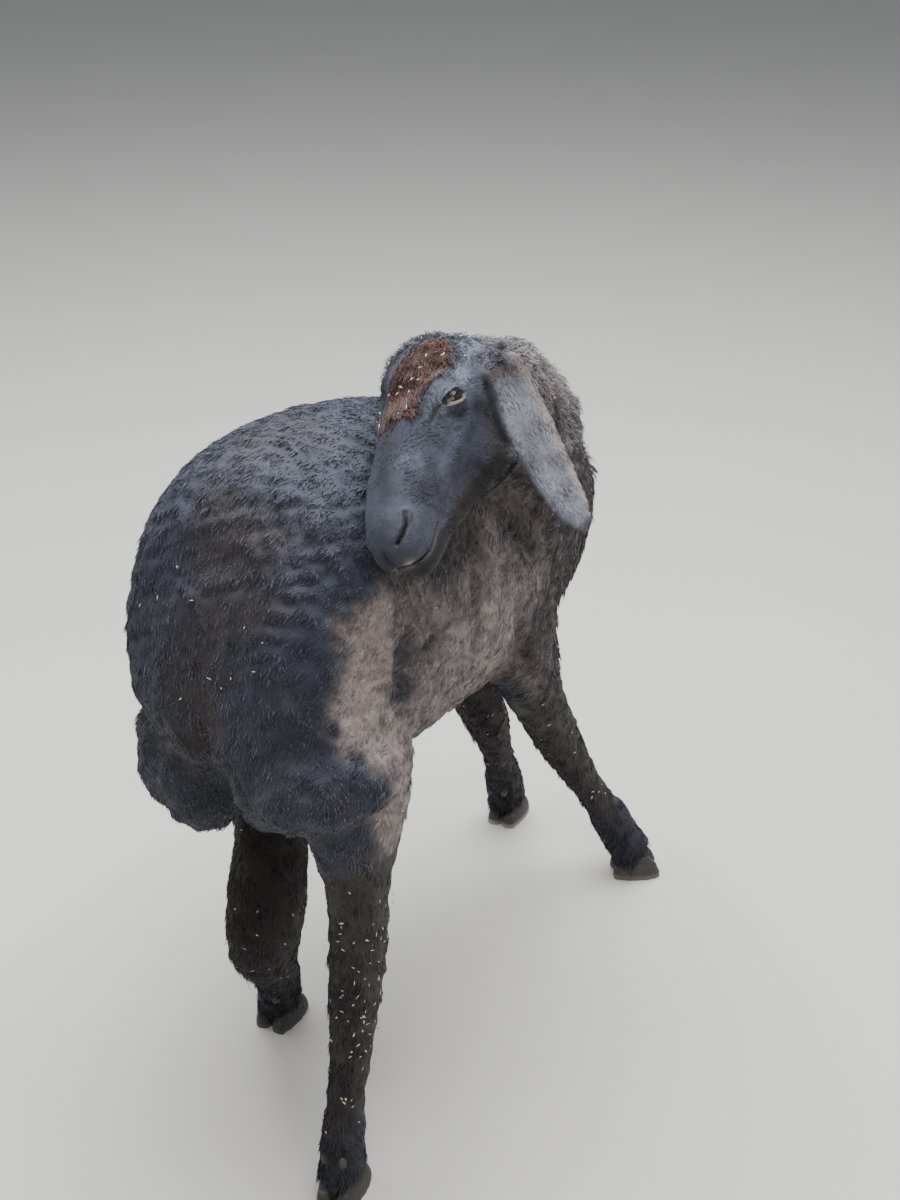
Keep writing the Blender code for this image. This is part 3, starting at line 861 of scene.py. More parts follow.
def ridges(points, weights):
    """Height of the wavy ridges across the back and round the rump, from -1 to 1."""
    spacing = bpy.context.scene.sheep_skin.ridge_spacing
    ahead = BOX_MIDDLE_AHEAD - points[:, 1]
    angle = np.arctan2(points[:, 2] - 0.53, 0.13 - ahead)
    run = angle * 0.22 / spacing
    warp = ripple(points, 0.16, 21) * 0.9 + ripple(points, 0.060, 22) * 0.42
    crest = (0.5 + 0.5 * np.cos(2.0 * math.pi * (run + warp))) ** 1.6
    broken = smoothstep(-0.5, 1.2, ripple(points, 0.070, 23))
    trunk, tail = shares_of(weights, "trunk", "tail")
    return (crest - 0.3) * broken * np.clip(trunk + 0.4 * tail, 0.0, 1.0)


def folds(points):
    """Height of the folds of the hide."""
    height = np.zeros(len(points))
    for depth, width, run in FOLDS:
        away, along = distance_to_run(points, laid([at(*place) for place in run]))
        ends = smoothstep(0.0, 0.25, along) * smoothstep(0.0, 0.25, 1.0 - along)
        height = height - depth * bell(away, width) * (0.25 + 0.75 * ends)
    return height


def lumps(points, weights):
    """Height of the small uneven lumps of the coat, which are largest on the neck."""
    trunk, tail, neck, leg = shares_of(weights, "trunk", "tail", "neck", "leg")
    small = ripple(points, 0.019, 24) * 0.0010 * (trunk + tail)
    locks = ripple(points, 0.030, 25) * 0.0028 * neck
    return small + locks + ripple(points, 0.020, 26) * 0.0008 * leg


EAR_CREASE_HEIGHT = 0.0016


def ear_crease(points, normals, weights):
    """Height of the crease that runs down the outer face of each ear, near its hind edge."""
    height = np.zeros(len(points))
    for name, sign in SIDES.items():
        along, across = ear_shares(points, name)
        outer = smoothstep(0.2, 0.7, normals @ np.array(EARS[name][1]))
        ridge = bell(across * sign + 0.40, 0.20) - 0.7 * bell(across * sign + 0.02, 0.26)
        mine = own_ear(points, weights, sign)
        height = height + ridge * outer * mine * smoothstep(0.2, 0.45, along)
    return height * EAR_CREASE_HEIGHT


def own_ear(points, weights, side):
    """How much each point belongs to the ear of that side."""
    [ear] = shares_of(weights, "ear")
    return ear * (head_shares(points)[:, 1] * side > 0.0)


def ear_shares(points, name):
    """How far along an ear each point lies, from 0 to 1, and how far across it, from -1 to 1."""
    run, facing = EARS[name]
    run = np.array([on_head(*place) for place in run])
    _, along = distance_to_run(points, run)
    place = along * (len(run) - 1)
    start = np.minimum(place.astype(int), len(run) - 2)
    way = run[start + 1] - run[start]
    nearest = run[start] + way * (place - start)[:, None]
    side = unit(np.cross(way, np.array(facing)))
    return along, ((points - nearest) * side).sum(1) / EAR_HALF_WIDTH


def poll_share(points, weights):
    """1 where the woolly poll is, from the crown to the roots of the ears."""
    neck, head = shares_of(weights, "neck", "head")
    forward, _, top = head_shares(points).T
    edge = forward + 0.03 * ripple(points, 0.03, 35)
    crown = (1.0 - smoothstep(0.07, 0.20, edge)) * smoothstep(-0.34, -0.22, top)
    mine = np.clip((head + neck) * 1.6, 0.0, 1.0) * crown * smoothstep(-0.30, -0.12, forward)
    for name, side in SIDES.items():
        along, _ = ear_shares(points, name)
        root = 1.0 - smoothstep(0.12, 0.30, along)
        mine = np.maximum(mine, own_ear(points, weights, side) * root)
    return mine


def face_shades(points, head):
    """The jaw, the throat, the temples and the nose's side, each from 0 to 1, for painted shade."""
    forward, _, top = head_shares(points).T
    lip = -0.350 + 0.014 * smoothstep(0.70, 0.78, forward) + 0.014 * smoothstep(0.92, 0.97, forward)
    jaw = head * (1.0 - smoothstep(-0.010, 0.008, top - lip))
    throat = head * bell(nearer_side(points, THROAT), 0.017)
    temples = (distances_to(points, on_half(TEMPLE, side)) for side in SIDES.values())
    temple = head * bell(np.minimum(*temples), 0.012)
    nose, _ = distance_to_run(points, laid([on_head(*place) for place in NOSE_LINE]))
    return jaw, throat, temple, head * bell(nose, 0.011)


def fold_share(points):
    """How deep in a fold of the hide each point lies, from 0 to 1."""
    return smoothstep(FOLD_SHADE_FROM, FOLD_SHADE_TO, -folds(points))


def under_jaw_share(points):
    away, _ = distance_to_run(points, laid([at(*place) for place in UNDER_JAW]))
    return bell(away, 0.026)


def painted_shade(points, normals, weights):
    """Painted shade that darkens the coat: on the jaw, in folds, on the feet and inside the legs."""
    trunk, tail, leg, head = shares_of(weights, "trunk", "tail", "leg", "head")
    left = points[:, 0] + BOX_MIDDLE_LEFT
    ahead = BOX_MIDDLE_AHEAD - points[:, 1]
    up = points[:, 2]
    jaw, throat, temple, nose = face_shades(points, head)
    middle = np.where(ahead > 0.25, -0.01, 0.0)
    inner = smoothstep(0.0, 0.7, -normals[:, 0] * np.sign(left - middle))
    legs = leg * (1.0 - smoothstep(0.40, 0.50, up))
    foot = 1.0 - smoothstep(0.06, 0.14, up)
    # Painted shade low on the rump's cushions, most on the left one, and on trunk faces turned
    # backward.
    cushion = tail * (0.12 + 0.30 * smoothstep(0.0, 0.05, left))
    cushion = cushion + 0.10 * trunk * smoothstep(0.3, 0.8, normals[:, 1])
    # All of these are painted shade: the jaw, the throat, the temples, beside the nose, the gap before
    # each ear, the folds, the flank under the jaw, and the legs under the body, most on their inner
    # sides and towards the feet.
    shades = (
        0.80 * jaw,
        0.70 * throat,
        0.55 * temple,
        0.35 * nose,
        0.85 * bell(nearer_side(points, EAR_GAP), 0.006),
        0.42 * trunk * fold_share(points),
        0.50 * trunk * under_jaw_share(points),
        legs * (0.13 + 0.50 * inner + 0.34 * foot),
        cushion * (1.0 - smoothstep(0.55, 0.75, up)),
    )
    return np.clip(np.max(shades, 0), 0.0, 1.0)


def worn_flank(points, normals, weights):
    """The worn, pale wool of flank and thigh, from 0 to 1."""
    trunk, leg = shares_of(weights, "trunk", "leg")
    left = points[:, 0] + BOX_MIDDLE_LEFT
    ahead = BOX_MIDDLE_AHEAD - points[:, 1]
    up = points[:, 2]
    uneven = ripple(points, 0.09, 31) * 0.05
    edge = -0.032 + 0.20 * np.maximum(up - 0.60, 0.0) + 2.0 * np.maximum(up - 0.685, 0.0)
    flank = smoothstep(-0.030, 0.032, ahead - edge + uneven * 0.25)
    flank = flank * (1.0 - smoothstep(0.70, 0.77, up + uneven * 0.5))
    flank = flank * smoothstep(-0.2, 0.3, -normals[:, 1] + np.abs(normals[:, 0]))
    flank = flank * (trunk + leg * smoothstep(0.40, 0.47, up))
    far_side = smoothstep(-0.02, 0.02, left)
    return flank * (1.0 - far_side * smoothstep(0.15, 0.50, normals[:, 2] + uneven * 2.0))


def markings(points, normals, weights):
    """Brown, pale, rust and grey of each point, 0 to 1, with painted shade and highlights in them."""
    trunk, tail, neck, leg, head = shares_of(weights, "trunk", "tail", "neck", "leg", "head")
    ahead = BOX_MIDDLE_AHEAD - points[:, 1]
    up = points[:, 2]
    forward, _, top = head_shares(points).T
    uneven = ripple(points, 0.09, 31) * 0.05
    patchy = 0.5 + 0.5 * ripple(points, 0.045, 32)
    low = 1.0 - smoothstep(0.50, 0.68, up + uneven)
    front = smoothstep(0.20, 0.40, ahead + uneven)
    side = smoothstep(0.3, 0.85, np.abs(normals[:, 0]))
    foot = 1.0 - smoothstep(0.08, 0.17, up + uneven * 0.4)
    thigh = 1.0 - smoothstep(0.026, 0.048, ahead)
    belly = 1.0 - smoothstep(0.590, 0.625, up + 0.10 * np.maximum(0.09 - ahead, 0.0))
    elbow = smoothstep(0.13, 0.18, ahead) * (1.0 - smoothstep(0.26, 0.31, ahead))
    flank = worn_flank(points, normals, weights)
    fleecy = neck * smoothstep(0.62, 0.80, up + uneven) * (1.0 - head)
    poll = poll_share(points, weights)
    jaw, throat, temple, nose = face_shades(points, head)

    brown_and_shade = neck + leg * (1.0 - 0.9 * foot) + trunk * front * (0.4 + side)
    brown_and_shade = brown_and_shade + 0.8 * flank * (1.0 - thigh) + 0.25 * tail * low + 0.35 * jaw + 0.3 * poll * patchy
    for run in STAINS:
        stain, _ = distance_to_run(points, laid([at(*place) for place in run]))
        brown_and_shade = brown_and_shade + 0.75 * bell(stain, 0.034)
    pale = 0.97 * thigh + (1.0 - thigh) * (0.36 + 0.24 * belly + 0.13 * elbow)
    pale = pale * flank * (1.0 - 0.75 * front) * (1.18 + 0.15 * ripple(points, 0.022, 37))
    pale = pale + fleecy * (0.50 + 0.27 * patchy)
    # Painted shade under the jaw and in the folds of the hide takes the pale wool away.
    pale = pale * ((1.0 - 0.60 * under_jaw_share(points)) * (1.0 - 0.40 * fold_share(points)))
    rust, ears = np.zeros((2, len(points)))
    for name, sign in SIDES.items():
        mine = own_ear(points, weights, sign)
        along, across = ear_shares(points, name)
        base = 1.0 - smoothstep(0.26, 0.46, along + uneven)
        # band is a painted highlight: the strip along each ear's back edge, past its crease, is paler.
        band = smoothstep(0.20, 0.60, -across * sign)
        rust = rust + 0.55 * mine * base * patchy
        brown_and_shade = brown_and_shade + mine * base
        ears = ears + mine * (1.0 - base) * (0.92 + 0.08 * band)
        pale = pale + mine * (0.16 * (1.0 - base) + 0.50 * band * smoothstep(0.12, 0.30, along))
    away, _ = distance_to_run(points, laid([on_head(*place) for place in RUST_LINE]))
    forelock = head * (1.0 - smoothstep(0.018, 0.030, away + uneven * 0.06))
    rust = rust + forelock * smoothstep(-0.09, -0.02, top)
    brow = bell(nearer_side(points, BROW_LINE), 0.013)
    muzzle = smoothstep(0.70, 0.92, forward)
    face = 0.16 + 0.10 * ripple(points, 0.05, 36)
    # A painted highlight on the brow, and painted shade beside the nose and in the temples.
    face = face + 0.46 * brow - 0.04 * muzzle - 0.10 * nose - 0.20 * temple
    crown = head * (1.0 - smoothstep(0.05, 0.30, forward)) * (1.0 - poll)
    # Jaw and throat lose the grey; on the throat that is painted shade.
    grey_and_highlight = head * face * (1.0 - jaw) * (1.0 - 0.9 * throat) * (1.0 - poll)
    grey_and_highlight = grey_and_highlight + ears + poll * (0.42 + 0.56 * patchy) + 0.35 * crown + 0.30 * fleecy
    # A painted highlight: the trunk's upper faces are painted lighter grey, as lit from above.
    grey_and_highlight = grey_and_highlight + 0.17 * trunk * (1.0 - flank) * smoothstep(0.30, 0.95, normals[:, 2])
    # The throat's painted shade is browner.
    brown_and_shade = brown_and_shade - head * (1.0 - jaw) * 0.4 + 1.2 * throat
    return np.clip(np.stack([brown_and_shade, pale, rust, grey_and_highlight], 1), 0.0, 1.0)


# The way that the coat lies on each region: left, backward and up.
LIE = {
    "trunk": (0.0, 0.85, -0.55),
    "tail": (0.0, 0.1, -1.0),
    "neck": (0.0, -0.35, -0.95),
    "leg": (0.0, 0.12, -1.0),
}


def coat_lie(points, normals, weights):
    """The way that the coat lies at each point, along the surface."""
    [head] = shares_of(weights, "head")
    forward, _, top = head_shares(points).T
    flow = np.zeros((len(points), 3))
    for share, way in zip(shares_of(weights, *LIE), LIE.values()):
        flow = flow + share[:, None] * np.array(way)
    crown = (1.0 - smoothstep(0.40, 0.52, forward)) * smoothstep(-0.12, -0.04, top)
    backward = -np.array(HEAD_FORWARD) - 0.35 * np.array(HEAD_TOP)
    over = np.array(HEAD_FORWARD) + 0.25 * np.array(HEAD_LEFT)
    flow = flow + (head * (1.0 - crown))[:, None] * backward + (head * crown)[:, None] * over
    for name, (run, _) in EARS.items():
        mine = own_ear(points, weights, SIDES[name])
        down = (on_head(*run[-1]) - on_head(*run[1])).normalized()
        flow = flow + mine[:, None] * np.array(down)
    flow = flow - normals * (flow * normals).sum(1)[:, None]
    return unit(flow)


def unwrap_copy(thing):
    """Keeps a light, unwrapped copy of the skin, which gives each tuft its place on the map."""
    copy = bpy.data.objects.new(UNWRAP_NAME, thing.data.copy())
    bpy.context.scene.collection.objects.link(copy)
    there = sum(len(face.vertices) - 2 for face in copy.data.polygons)
    ratio = UNWRAP_TRIANGLES / there
    apply_modifier(copy, "DECIMATE", ratio=ratio, use_collapse_triangulate=True)
    select_only(copy)
    bpy.ops.object.mode_set(mode="EDIT")
    bpy.ops.mesh.select_all(action="SELECT")
    bpy.ops.uv.smart_project(angle_limit=math.radians(66.0), island_margin=0.004)
    bpy.ops.object.mode_set(mode="OBJECT")
    kept = copy.data
    kept.name = UNWRAP_NAME
    kept.use_fake_user = True
    bpy.data.objects.remove(copy)


class SHEEP_OT_skin(bpy.types.Operator):
    """Model one skin over head, neck, trunk, tail, legs and ears"""

    bl_idname = "sheep.skin"
    bl_label = "Skin"

    def execute(self, context):
        thing = fused_flesh()
        self.smooth(thing)
        head_middle = on_head(*HEAD_MIDDLE)
        subdivide_where(thing, lambda centres: distances_to(centres, head_middle) < HEAD_REACH)
        subdivide_where(thing, near_features(FEATURE_REACH))
        subdivide_where(thing, near_features(EDGE_REACH))
        weights, face = self.shape(thing, context.scene.sheep_skin.ridge_height)
        self.mark(thing, weights, face)
        shade_smooth(thing)
        thing.data.materials.append(skin_material())
        unwrap_copy(thing)
        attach(thing, BODY)
        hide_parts(*FLESH_NODES)
        return {"FINISHED"}

    def smooth(self, thing):
        """Smooths the facets away, and less so on the thin ears."""
        skin = Skin(thing)
        [ear] = shares_of(skin.region_weights(), "ear")
        points = even_out(skin.points, skin.web, SMOOTHING_ROUNDS, 1.0 - 0.75 * ear)
        set_points(skin.mesh, points)

    def shape(self, thing, ridge_height):
        """Sinks the skin by the coat's depth, and shapes ridges, folds and face."""
        skin = Skin(thing)
        weights = skin.region_weights()
        [head] = shares_of(weights, "head")
        points = even_out(skin.points, skin.web, 3, smoothstep(0.35, 0.75, head))
        depth = weights @ np.array([COAT_DEPTH[region] for region in REGIONS])
        depth = depth * (0.35 + 0.65 * smoothstep(0.030, 0.075, points[:, 2])) + CUT_OVERLAP
        points = points - skin.normals * depth[:, None]
        set_points(skin.mesh, points)
        raised = ridges(points, weights) * ridge_height + folds(points) + lumps(points, weights)
        raised = raised + ear_crease(points, skin.normals, weights)
        face = Face(points + skin.normals * raised[:, None], skin.normals)
        face.shape()
        set_points(skin.mesh, face.points)
        return weights, face

    def mark(self, thing, weights, face):
        """Writes markings, bare places, painted shade and the lie of the coat on the skin."""
        skin = Skin(thing)
        place = (skin.points, skin.normals, weights)
        # The bare attribute holds the bare skin, painted shade with the dark lid rims, the cream of
        # lips and lids, and the coat's painted shade.
        bare = np.stack([face.bare, face.dark, face.cream, painted_shade(*place)], 1)
        set_attribute(skin.mesh, "markings", "FLOAT_COLOR", markings(*place))
        set_attribute(skin.mesh, "bare", "FLOAT_COLOR", bare)
        set_attribute(skin.mesh, "lie", "FLOAT_VECTOR", coat_lie(*place))
        for region, share in zip(REGIONS, weights.T):
            set_attribute(skin.mesh, region, "FLOAT", share)


# ---------------------------------------------------------------- tufts

class Style:
    """How the tufts of one kind of coat are made. Sizes are in metres and lean is in degrees."""

    def __init__(self, length, width, spacing, lean, mess, clump, gather, **more):
        self.length = length
        self.width = width        # half the width at the root
        self.spacing = spacing
        self.lean = math.radians(lean)
        self.mess = mess          # how far, in radians, a tuft turns from the lie of the coat
        self.clump = clump        # from one clump of tufts to the next
        self.gather = gather      # how far the tips of a clump come together
        self.rings = more.get("rings", 2)
        self.curl = more.get("curl", 0.10)
        self.kind = more.get("kind", "wool")


BODY_STYLE = Style(0.0090, 0.00080, 0.0031, 18.0, 0.42, 0.0085, 0.25)
NECK_STYLE = Style(0.0170, 0.00075, 0.0032, 36.0, 0.75, 0.0130, 0.50, rings=3, curl=0.22)
POLL_STYLE = Style(0.0125, 0.00062, 0.0025, 42.0, 0.95, 0.0090, 0.50, rings=3, curl=0.24)
LEG_STYLE = Style(0.0080, 0.00062, 0.0032, 14.0, 0.28, 0.0070, 0.28, kind="hair")
FACE_STYLE = Style(0.0062, 0.00040, 0.0020, 13.0, 0.22, 0.0050, 0.22, kind="hair")
EAR_STYLE = Style(0.0062, 0.00038, 0.0022, 11.0, 0.16, 0.0040, 0.15, kind="hair")
FORELOCK_STYLE = Style(0.0175, 0.00055, 0.0021, 17.0, 0.26, 0.0080, 0.50, rings=3, curl=0.08)
LASH_STYLE = Style(0.0062, 0.00018, 0.0010, 10.0, 0.12, 0.0020, 0.10, kind="hair")
FLAT = 0.6                # thickness of a tuft as a share of its width
PATCH = 0.003             # side of a tuft's patch on the coat's map
OVERSAMPLING = 5.0        # places tried for each root
ROOT_GAP = 1.15           # the least distance between roots, in shares of their spacing
BAREST = 0.42             # no tuft grows where the skin is barer or darker than this
HAIR_FROM = 0.028         # height above the ground where the hair of the legs starts
CELL_PRIMES = (73856093, 19349663, 83492791)


class Roots:
    """Places on the skin where tufts grow, with what the skin holds there."""

    def __init__(self, values):
        self.values = values

    def __getattr__(self, name):
        return self.values[name]

    def __len__(self):
        return len(self.values["points"])

    def where(self, chosen):
        return Roots({name: value[chosen] for name, value in self.values.items()})


def one_in_each_cell(points, size):
    """The first point in each cell of a grid, so that none lie much closer than size."""
    cells = np.floor(points / size).astype(np.int64)
    _, first = np.unique(cells @ np.array(CELL_PRIMES), return_index=True)
    return np.sort(first)


def scattered(areas, count, chance):
    """Places spread evenly over triangles: the triangle of each and its shares of the corners."""
    edges = np.cumsum(areas)
    faces = np.searchsorted(edges, chance.uniform(0.0, edges[-1], count))
    one, two = chance.uniform(size=(2, count))
    over = one + two > 1.0
    one, two = np.where(over, 1.0 - one, one), np.where(over, 1.0 - two, two)
    return faces, np.stack([1.0 - one - two, one, two], 1)


def grow_roots(spacing, seed, chosen):
    """Scatters roots that far apart over the faces of the skin whose region weights pass chosen."""
    mesh = bpy.data.objects["skin"].data
    settings = bpy.context.scene.sheep_coat
    spacing = spacing / math.sqrt(settings.density)
    mesh.calc_loop_triangles()
    corners = array_of(mesh.loop_triangles, "vertices", 3, np.int32)
    areas = array_of(mesh.loop_triangles, "area", 1)
    held = {region: array_of(mesh.attributes[region].data, "value", 1) for region in REGIONS}
    areas = areas * chosen({region: value[corners].mean(1) for region, value in held.items()})
    count = int(areas.sum() / spacing ** 2 * OVERSAMPLING)
    faces, shares = scattered(areas, count, np.random.default_rng(settings.seed + seed))
    picked = corners[faces]
    source = {
        "points": array_of(mesh.vertices, "co"),
        "normals": array_of(mesh.vertices, "normal"),
        "lie": array_of(mesh.attributes["lie"].data, "vector"),
        "markings": array_of(mesh.attributes["markings"].data, "color", 4),
        "bare": array_of(mesh.attributes["bare"].data, "color", 4),
        "weights": np.stack(list(held.values()), 1),
    }
    roots = Roots({
        name: (value[picked] * shares[:, :, None]).sum(1) for name, value in source.items()
    })
    roots = roots.where(one_in_each_cell(roots.points, spacing * ROOT_GAP))
    roots = roots.where(roots.bare[:, :2].max(1) < BAREST)
    roots.values["normals"] = unit(roots.normals)
    across = (roots.lie * roots.normals).sum(1)[:, None]
    roots.values["lie"] = unit(roots.lie - roots.normals * across)
    roots.values["longer"] = longer_coat(roots.points, roots.normals, roots.weights)
    return roots


def longer_coat(points, normals, weights):
    """How much longer than its style the coat is at each root."""
    trunk, neck, leg, head = shares_of(weights, "trunk", "neck", "leg", "head")
    forward, _, top = head_shares(points).T
    up = points[:, 2]
    jaw = head * (1.0 - smoothstep(0.20, 0.45, forward)) * (1.0 - smoothstep(-0.42, -0.28, top))
    nose = head * smoothstep(0.70, 0.90, forward)
    shag = leg * smoothstep(0.1, 0.8, normals[:, 1]) * (1.0 - smoothstep(0.26, 0.40, up))
    pastern = leg * (1.0 - smoothstep(0.04, 0.10, up))
    front = trunk * smoothstep(0.28, 0.42, BOX_MIDDLE_AHEAD - points[:, 1])
    longer = 1.0 + 1.3 * jaw - 0.45 * nose + 0.9 * shag + 0.3 * pastern + 0.45 * front
    return (longer + 0.6 * neck * head) * (1.0 + 0.22 * ripple(points, 0.025, 41))


def root_places(points):
    """Where each root lies on the unwrapped copy of the skin."""
    mesh = bpy.data.meshes[UNWRAP_NAME]
    mesh.calc_loop_triangles()
    corners = array_of(mesh.loop_triangles, "vertices", 3, np.int32)
    loops = array_of(mesh.loop_triangles, "loops", 3, np.int32)
    spots = array_of(mesh.uv_layers[0].data, "uv", 2)[loops]
    places = array_of(mesh.vertices, "co")
    tree = KDTree(len(corners))
    for index, centre in enumerate(places[corners].mean(1)):
        tree.insert(centre, index)
    tree.balance()
    nearest = np.array([tree.find(point)[1] for point in points])
    first, second, third = (places[corners[nearest, k]] for k in range(3))
    side, other, offset = second - first, third - first, points - first
    aa, ab, bb = (side * side).sum(1), (side * other).sum(1), (other * other).sum(1)
    pa, pb = (offset * side).sum(1), (offset * other).sum(1)
    scale = np.maximum(aa * bb - ab * ab, 1e-18)
    one = np.clip((bb * pa - ab * pb) / scale, 0.0, 1.0)
    two = np.clip((aa * pb - ab * pa) / scale, 0.0, 1.0 - one)
    shares = np.stack([1.0 - one - two, one, two], 1)
    return (spots[nearest] * shares[:, :, None]).sum(1)


def clump_of(points, size):
    """For each point, the index of the point that leads its clump."""
    leaders = one_in_each_cell(points, size)
    tree = KDTree(len(leaders))
    for index in leaders:
        tree.insert(points[index], int(index))
    tree.balance()
    return np.array([tree.find(point)[1] for point in points])


def tuft_lines(roots, style, chance):
    """The middle line of each tuft, as one row of points for each ring and one for the tips."""
    count = len(roots)
    size = (style.length * roots.longer * np.exp(chance.normal(0.0, 0.20, count)))[:, None]
    turn = chance.normal(0.0, style.mess, count)[:, None]
    side = np.cross(roots.normals, roots.lie)
    way = roots.lie * np.cos(turn) + side * np.sin(turn)
    across = np.cross(roots.normals, way)
    lean = style.lean * chance.uniform(0.55, 1.45, count)[:, None]
    wave = style.curl * chance.normal(size=(count, 1)) * size
    steps = style.rings
    line = [roots.points - roots.normals * style.width * 0.9]
    for step in range(1, steps + 1):
        share = step / steps
        angle = lean * (1.30 - 1.15 * share)
        ahead = (way * np.cos(angle) + roots.normals * np.sin(angle)) * size / steps
        line.append(line[-1] + ahead + across * wave * math.sin(2.4 * math.pi * share))
    for step in range(1, steps + 1):
        share = style.gather * (step / steps) ** 1.4
        own = line[step] - roots.points
        lead = line[step][roots.leaders] - roots.points
        line[step] = roots.points + own * (1.0 - share) + lead * share
    return line


def tuft_corners(roots, style, chance):
    """The corners of every tuft: three for each ring and one for the tip."""
    count, rings = len(roots), style.rings
    line = tuft_lines(roots, style, chance)
    thick = style.width * np.exp(chance.normal(0.0, 0.18, count))[:, None]
    thick = thick * np.minimum(roots.longer, 1.6)[:, None]
    first = chance.uniform(0.0, 2.0 * math.pi, count)[:, None]
    corners = []
    for ring in range(rings):
        along = unit(line[ring + 1] - line[ring])
        wide = unit(np.cross(along, roots.normals) + 1e-6)
        deep = np.cross(wide, along)
        radius = thick * (1.0 - 0.35 * ring / max(rings - 1, 1))
        for corner in range(3):
            angle = first + corner * 2.0 * math.pi / 3.0
            place = line[ring] + wide * np.cos(angle) * radius
            corners.append(place + deep * np.sin(angle) * radius * FLAT)
    return np.stack([*corners, line[rings]], 1)


def tuft_faces(rings):
    """The corners of a tuft's triangles: its closed root, its sides and its tip."""
    faces = [(0, 2, 1)]
    for ring in range(rings - 1):
        for corner in range(3):
            here, there = 3 * ring + corner, 3 * ring + (corner + 1) % 3
            faces += [(here, there, there + 3), (here, there + 3, here + 3)]
    last, tip = 3 * (rings - 1), 3 * rings
    return np.array(faces + [(last + k, last + (k + 1) % 3, tip) for k in range(3)])


def tuft_mesh(name, roots, style, chance):
    """All tufts as one mesh of closed three-sided spikes."""
    count, rings = len(roots), style.rings
    size = 3 * rings + 1
    roots.values["leaders"] = clump_of(roots.points, style.clump)
    points = tuft_corners(roots, style, chance).reshape(-1, 3)
    indices = (tuft_faces(rings)[None] + np.arange(count)[:, None, None] * size).reshape(-1)
    mesh = mesh_of(name, points, indices)
    along = np.append(np.repeat(np.arange(rings) / rings, 3), 1.0)
    tuft = np.zeros((count, size, 4))
    tuft[:, :, 0] = along
    tuft[:, :, 1] = chance.uniform(size=(count, 1))
    tuft[:, :, 2] = chance.uniform(size=count)[roots.leaders][:, None]
    # The fourth channel is the painted shade of the skin under the tuft.
    tuft[:, :, 3] = roots.bare[:, 3][:, None]
    set_attribute(mesh, "tuft", "FLOAT_COLOR", tuft)
    set_attribute(mesh, "markings", "FLOAT_COLOR", np.repeat(roots.markings, size, 0))
    across = np.append(np.tile([-1.0, 0.0, 1.0], rings), 0.0)
    corner_place = np.stack([across, along * 2.0 - 1.0], 1)
    spots = root_places(roots.points)[:, None, :] + corner_place * PATCH / 2.0
    layer = mesh.uv_layers.new(name="OFBake")
    layer.data.foreach_set("uv", spots.reshape(-1, 2)[indices].astype(np.float32).ravel())
    return shown(mesh)


def shown(mesh):
    """A mesh set in the scene as an object with smooth shading."""
    made = bpy.data.objects.new(mesh.name, mesh)
    bpy.context.scene.collection.objects.link(made)
    shade_smooth(made)
    return made


def mesh_of(name, points, indices):
    """A mesh of triangles, from its points and three indices for each triangle."""
    mesh = bpy.data.meshes.new(name)
    mesh.vertices.add(len(points))
    mesh.vertices.foreach_set("co", points.astype(np.float32).ravel())
    mesh.loops.add(len(indices))
    mesh.loops.foreach_set("vertex_index", indices.astype(np.int32))
    mesh.polygons.add(len(indices) // 3)
    mesh.polygons.foreach_set("loop_start", np.arange(0, len(indices), 3, dtype=np.int32))
    mesh.update(calc_edges=True)
    return mesh


def grow(name, style, seed, slot, chosen, kept=None):
    """Grows one kind of coat, in pieces from tail to head.

    chosen takes what the skin's faces hold and kept takes the roots. Each says where it grows.
    """
    roots = grow_roots(style.spacing, seed, chosen)
    if kept:
        roots = roots.where(kept(roots))
    faces, least = len(tuft_faces(style.rings)), len(tuft_faces(2))
    limit = int(bpy.context.scene.sheep_coat.piece_tufts * least / faces)
    pieces = math.ceil(len(roots) / limit)
    order = np.argsort(-roots.points[:, 1])
    for index, mine in enumerate(np.array_split(order, pieces)):
        chance = np.random.default_rng(seed * 100 + index)
        own = name if pieces == 1 else f"{name}_{index + 1}"
        piece = tuft_mesh(own, roots.where(mine), style, chance)
        piece.data.materials.append(coat_material(style.kind))
        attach(piece, BODY)
    return {"FINISHED"}


class SHEEP_OT_body_wool(bpy.types.Operator):
    """Grow the short shorn wool of trunk and rump"""

    bl_idname = "sheep.body_wool"
    bl_label = "Body wool"

    def execute(self, context):
        def chosen(held):
            return held["trunk"] + held["tail"] > 0.5

        return grow("body_wool", BODY_STYLE, 1, "body_wool", chosen)


class SHEEP_OT_neck_wool(bpy.types.Operator):
    """Grow the longer, clumped wool of the neck"""

    bl_idname = "sheep.neck_wool"
    bl_label = "Neck wool"

    def execute(self, context):
        def chosen(held):
            return held["neck"] > 0.42

        return grow("neck_wool", NECK_STYLE, 2, "neck_wool", chosen)


class SHEEP_OT_leg_hair(bpy.types.Operator):
    """Grow the hair of the legs"""

    bl_idname = "sheep.leg_hair"
    bl_label = "Leg hair"

    def execute(self, context):
        def chosen(held):
            return held["leg"] > 0.5

        def kept(roots):
            return roots.points[:, 2] > HAIR_FROM

        return grow("leg_hair", LEG_STYLE, 3, "leg_hair", chosen, kept)


class SHEEP_OT_face_hair(bpy.types.Operator):
    """Grow the short hair of the face"""

    bl_idname = "sheep.face_hair"
    bl_label = "Face hair"

    def execute(self, context):
        def chosen(held):
            return held["head"] > 0.5

        def kept(roots):
            return (poll_share(roots.points, roots.weights) < 0.5) & (roots.markings[:, 2] < 0.6)

        return grow("face_hair", FACE_STYLE, 4, "face_hair", chosen, kept)


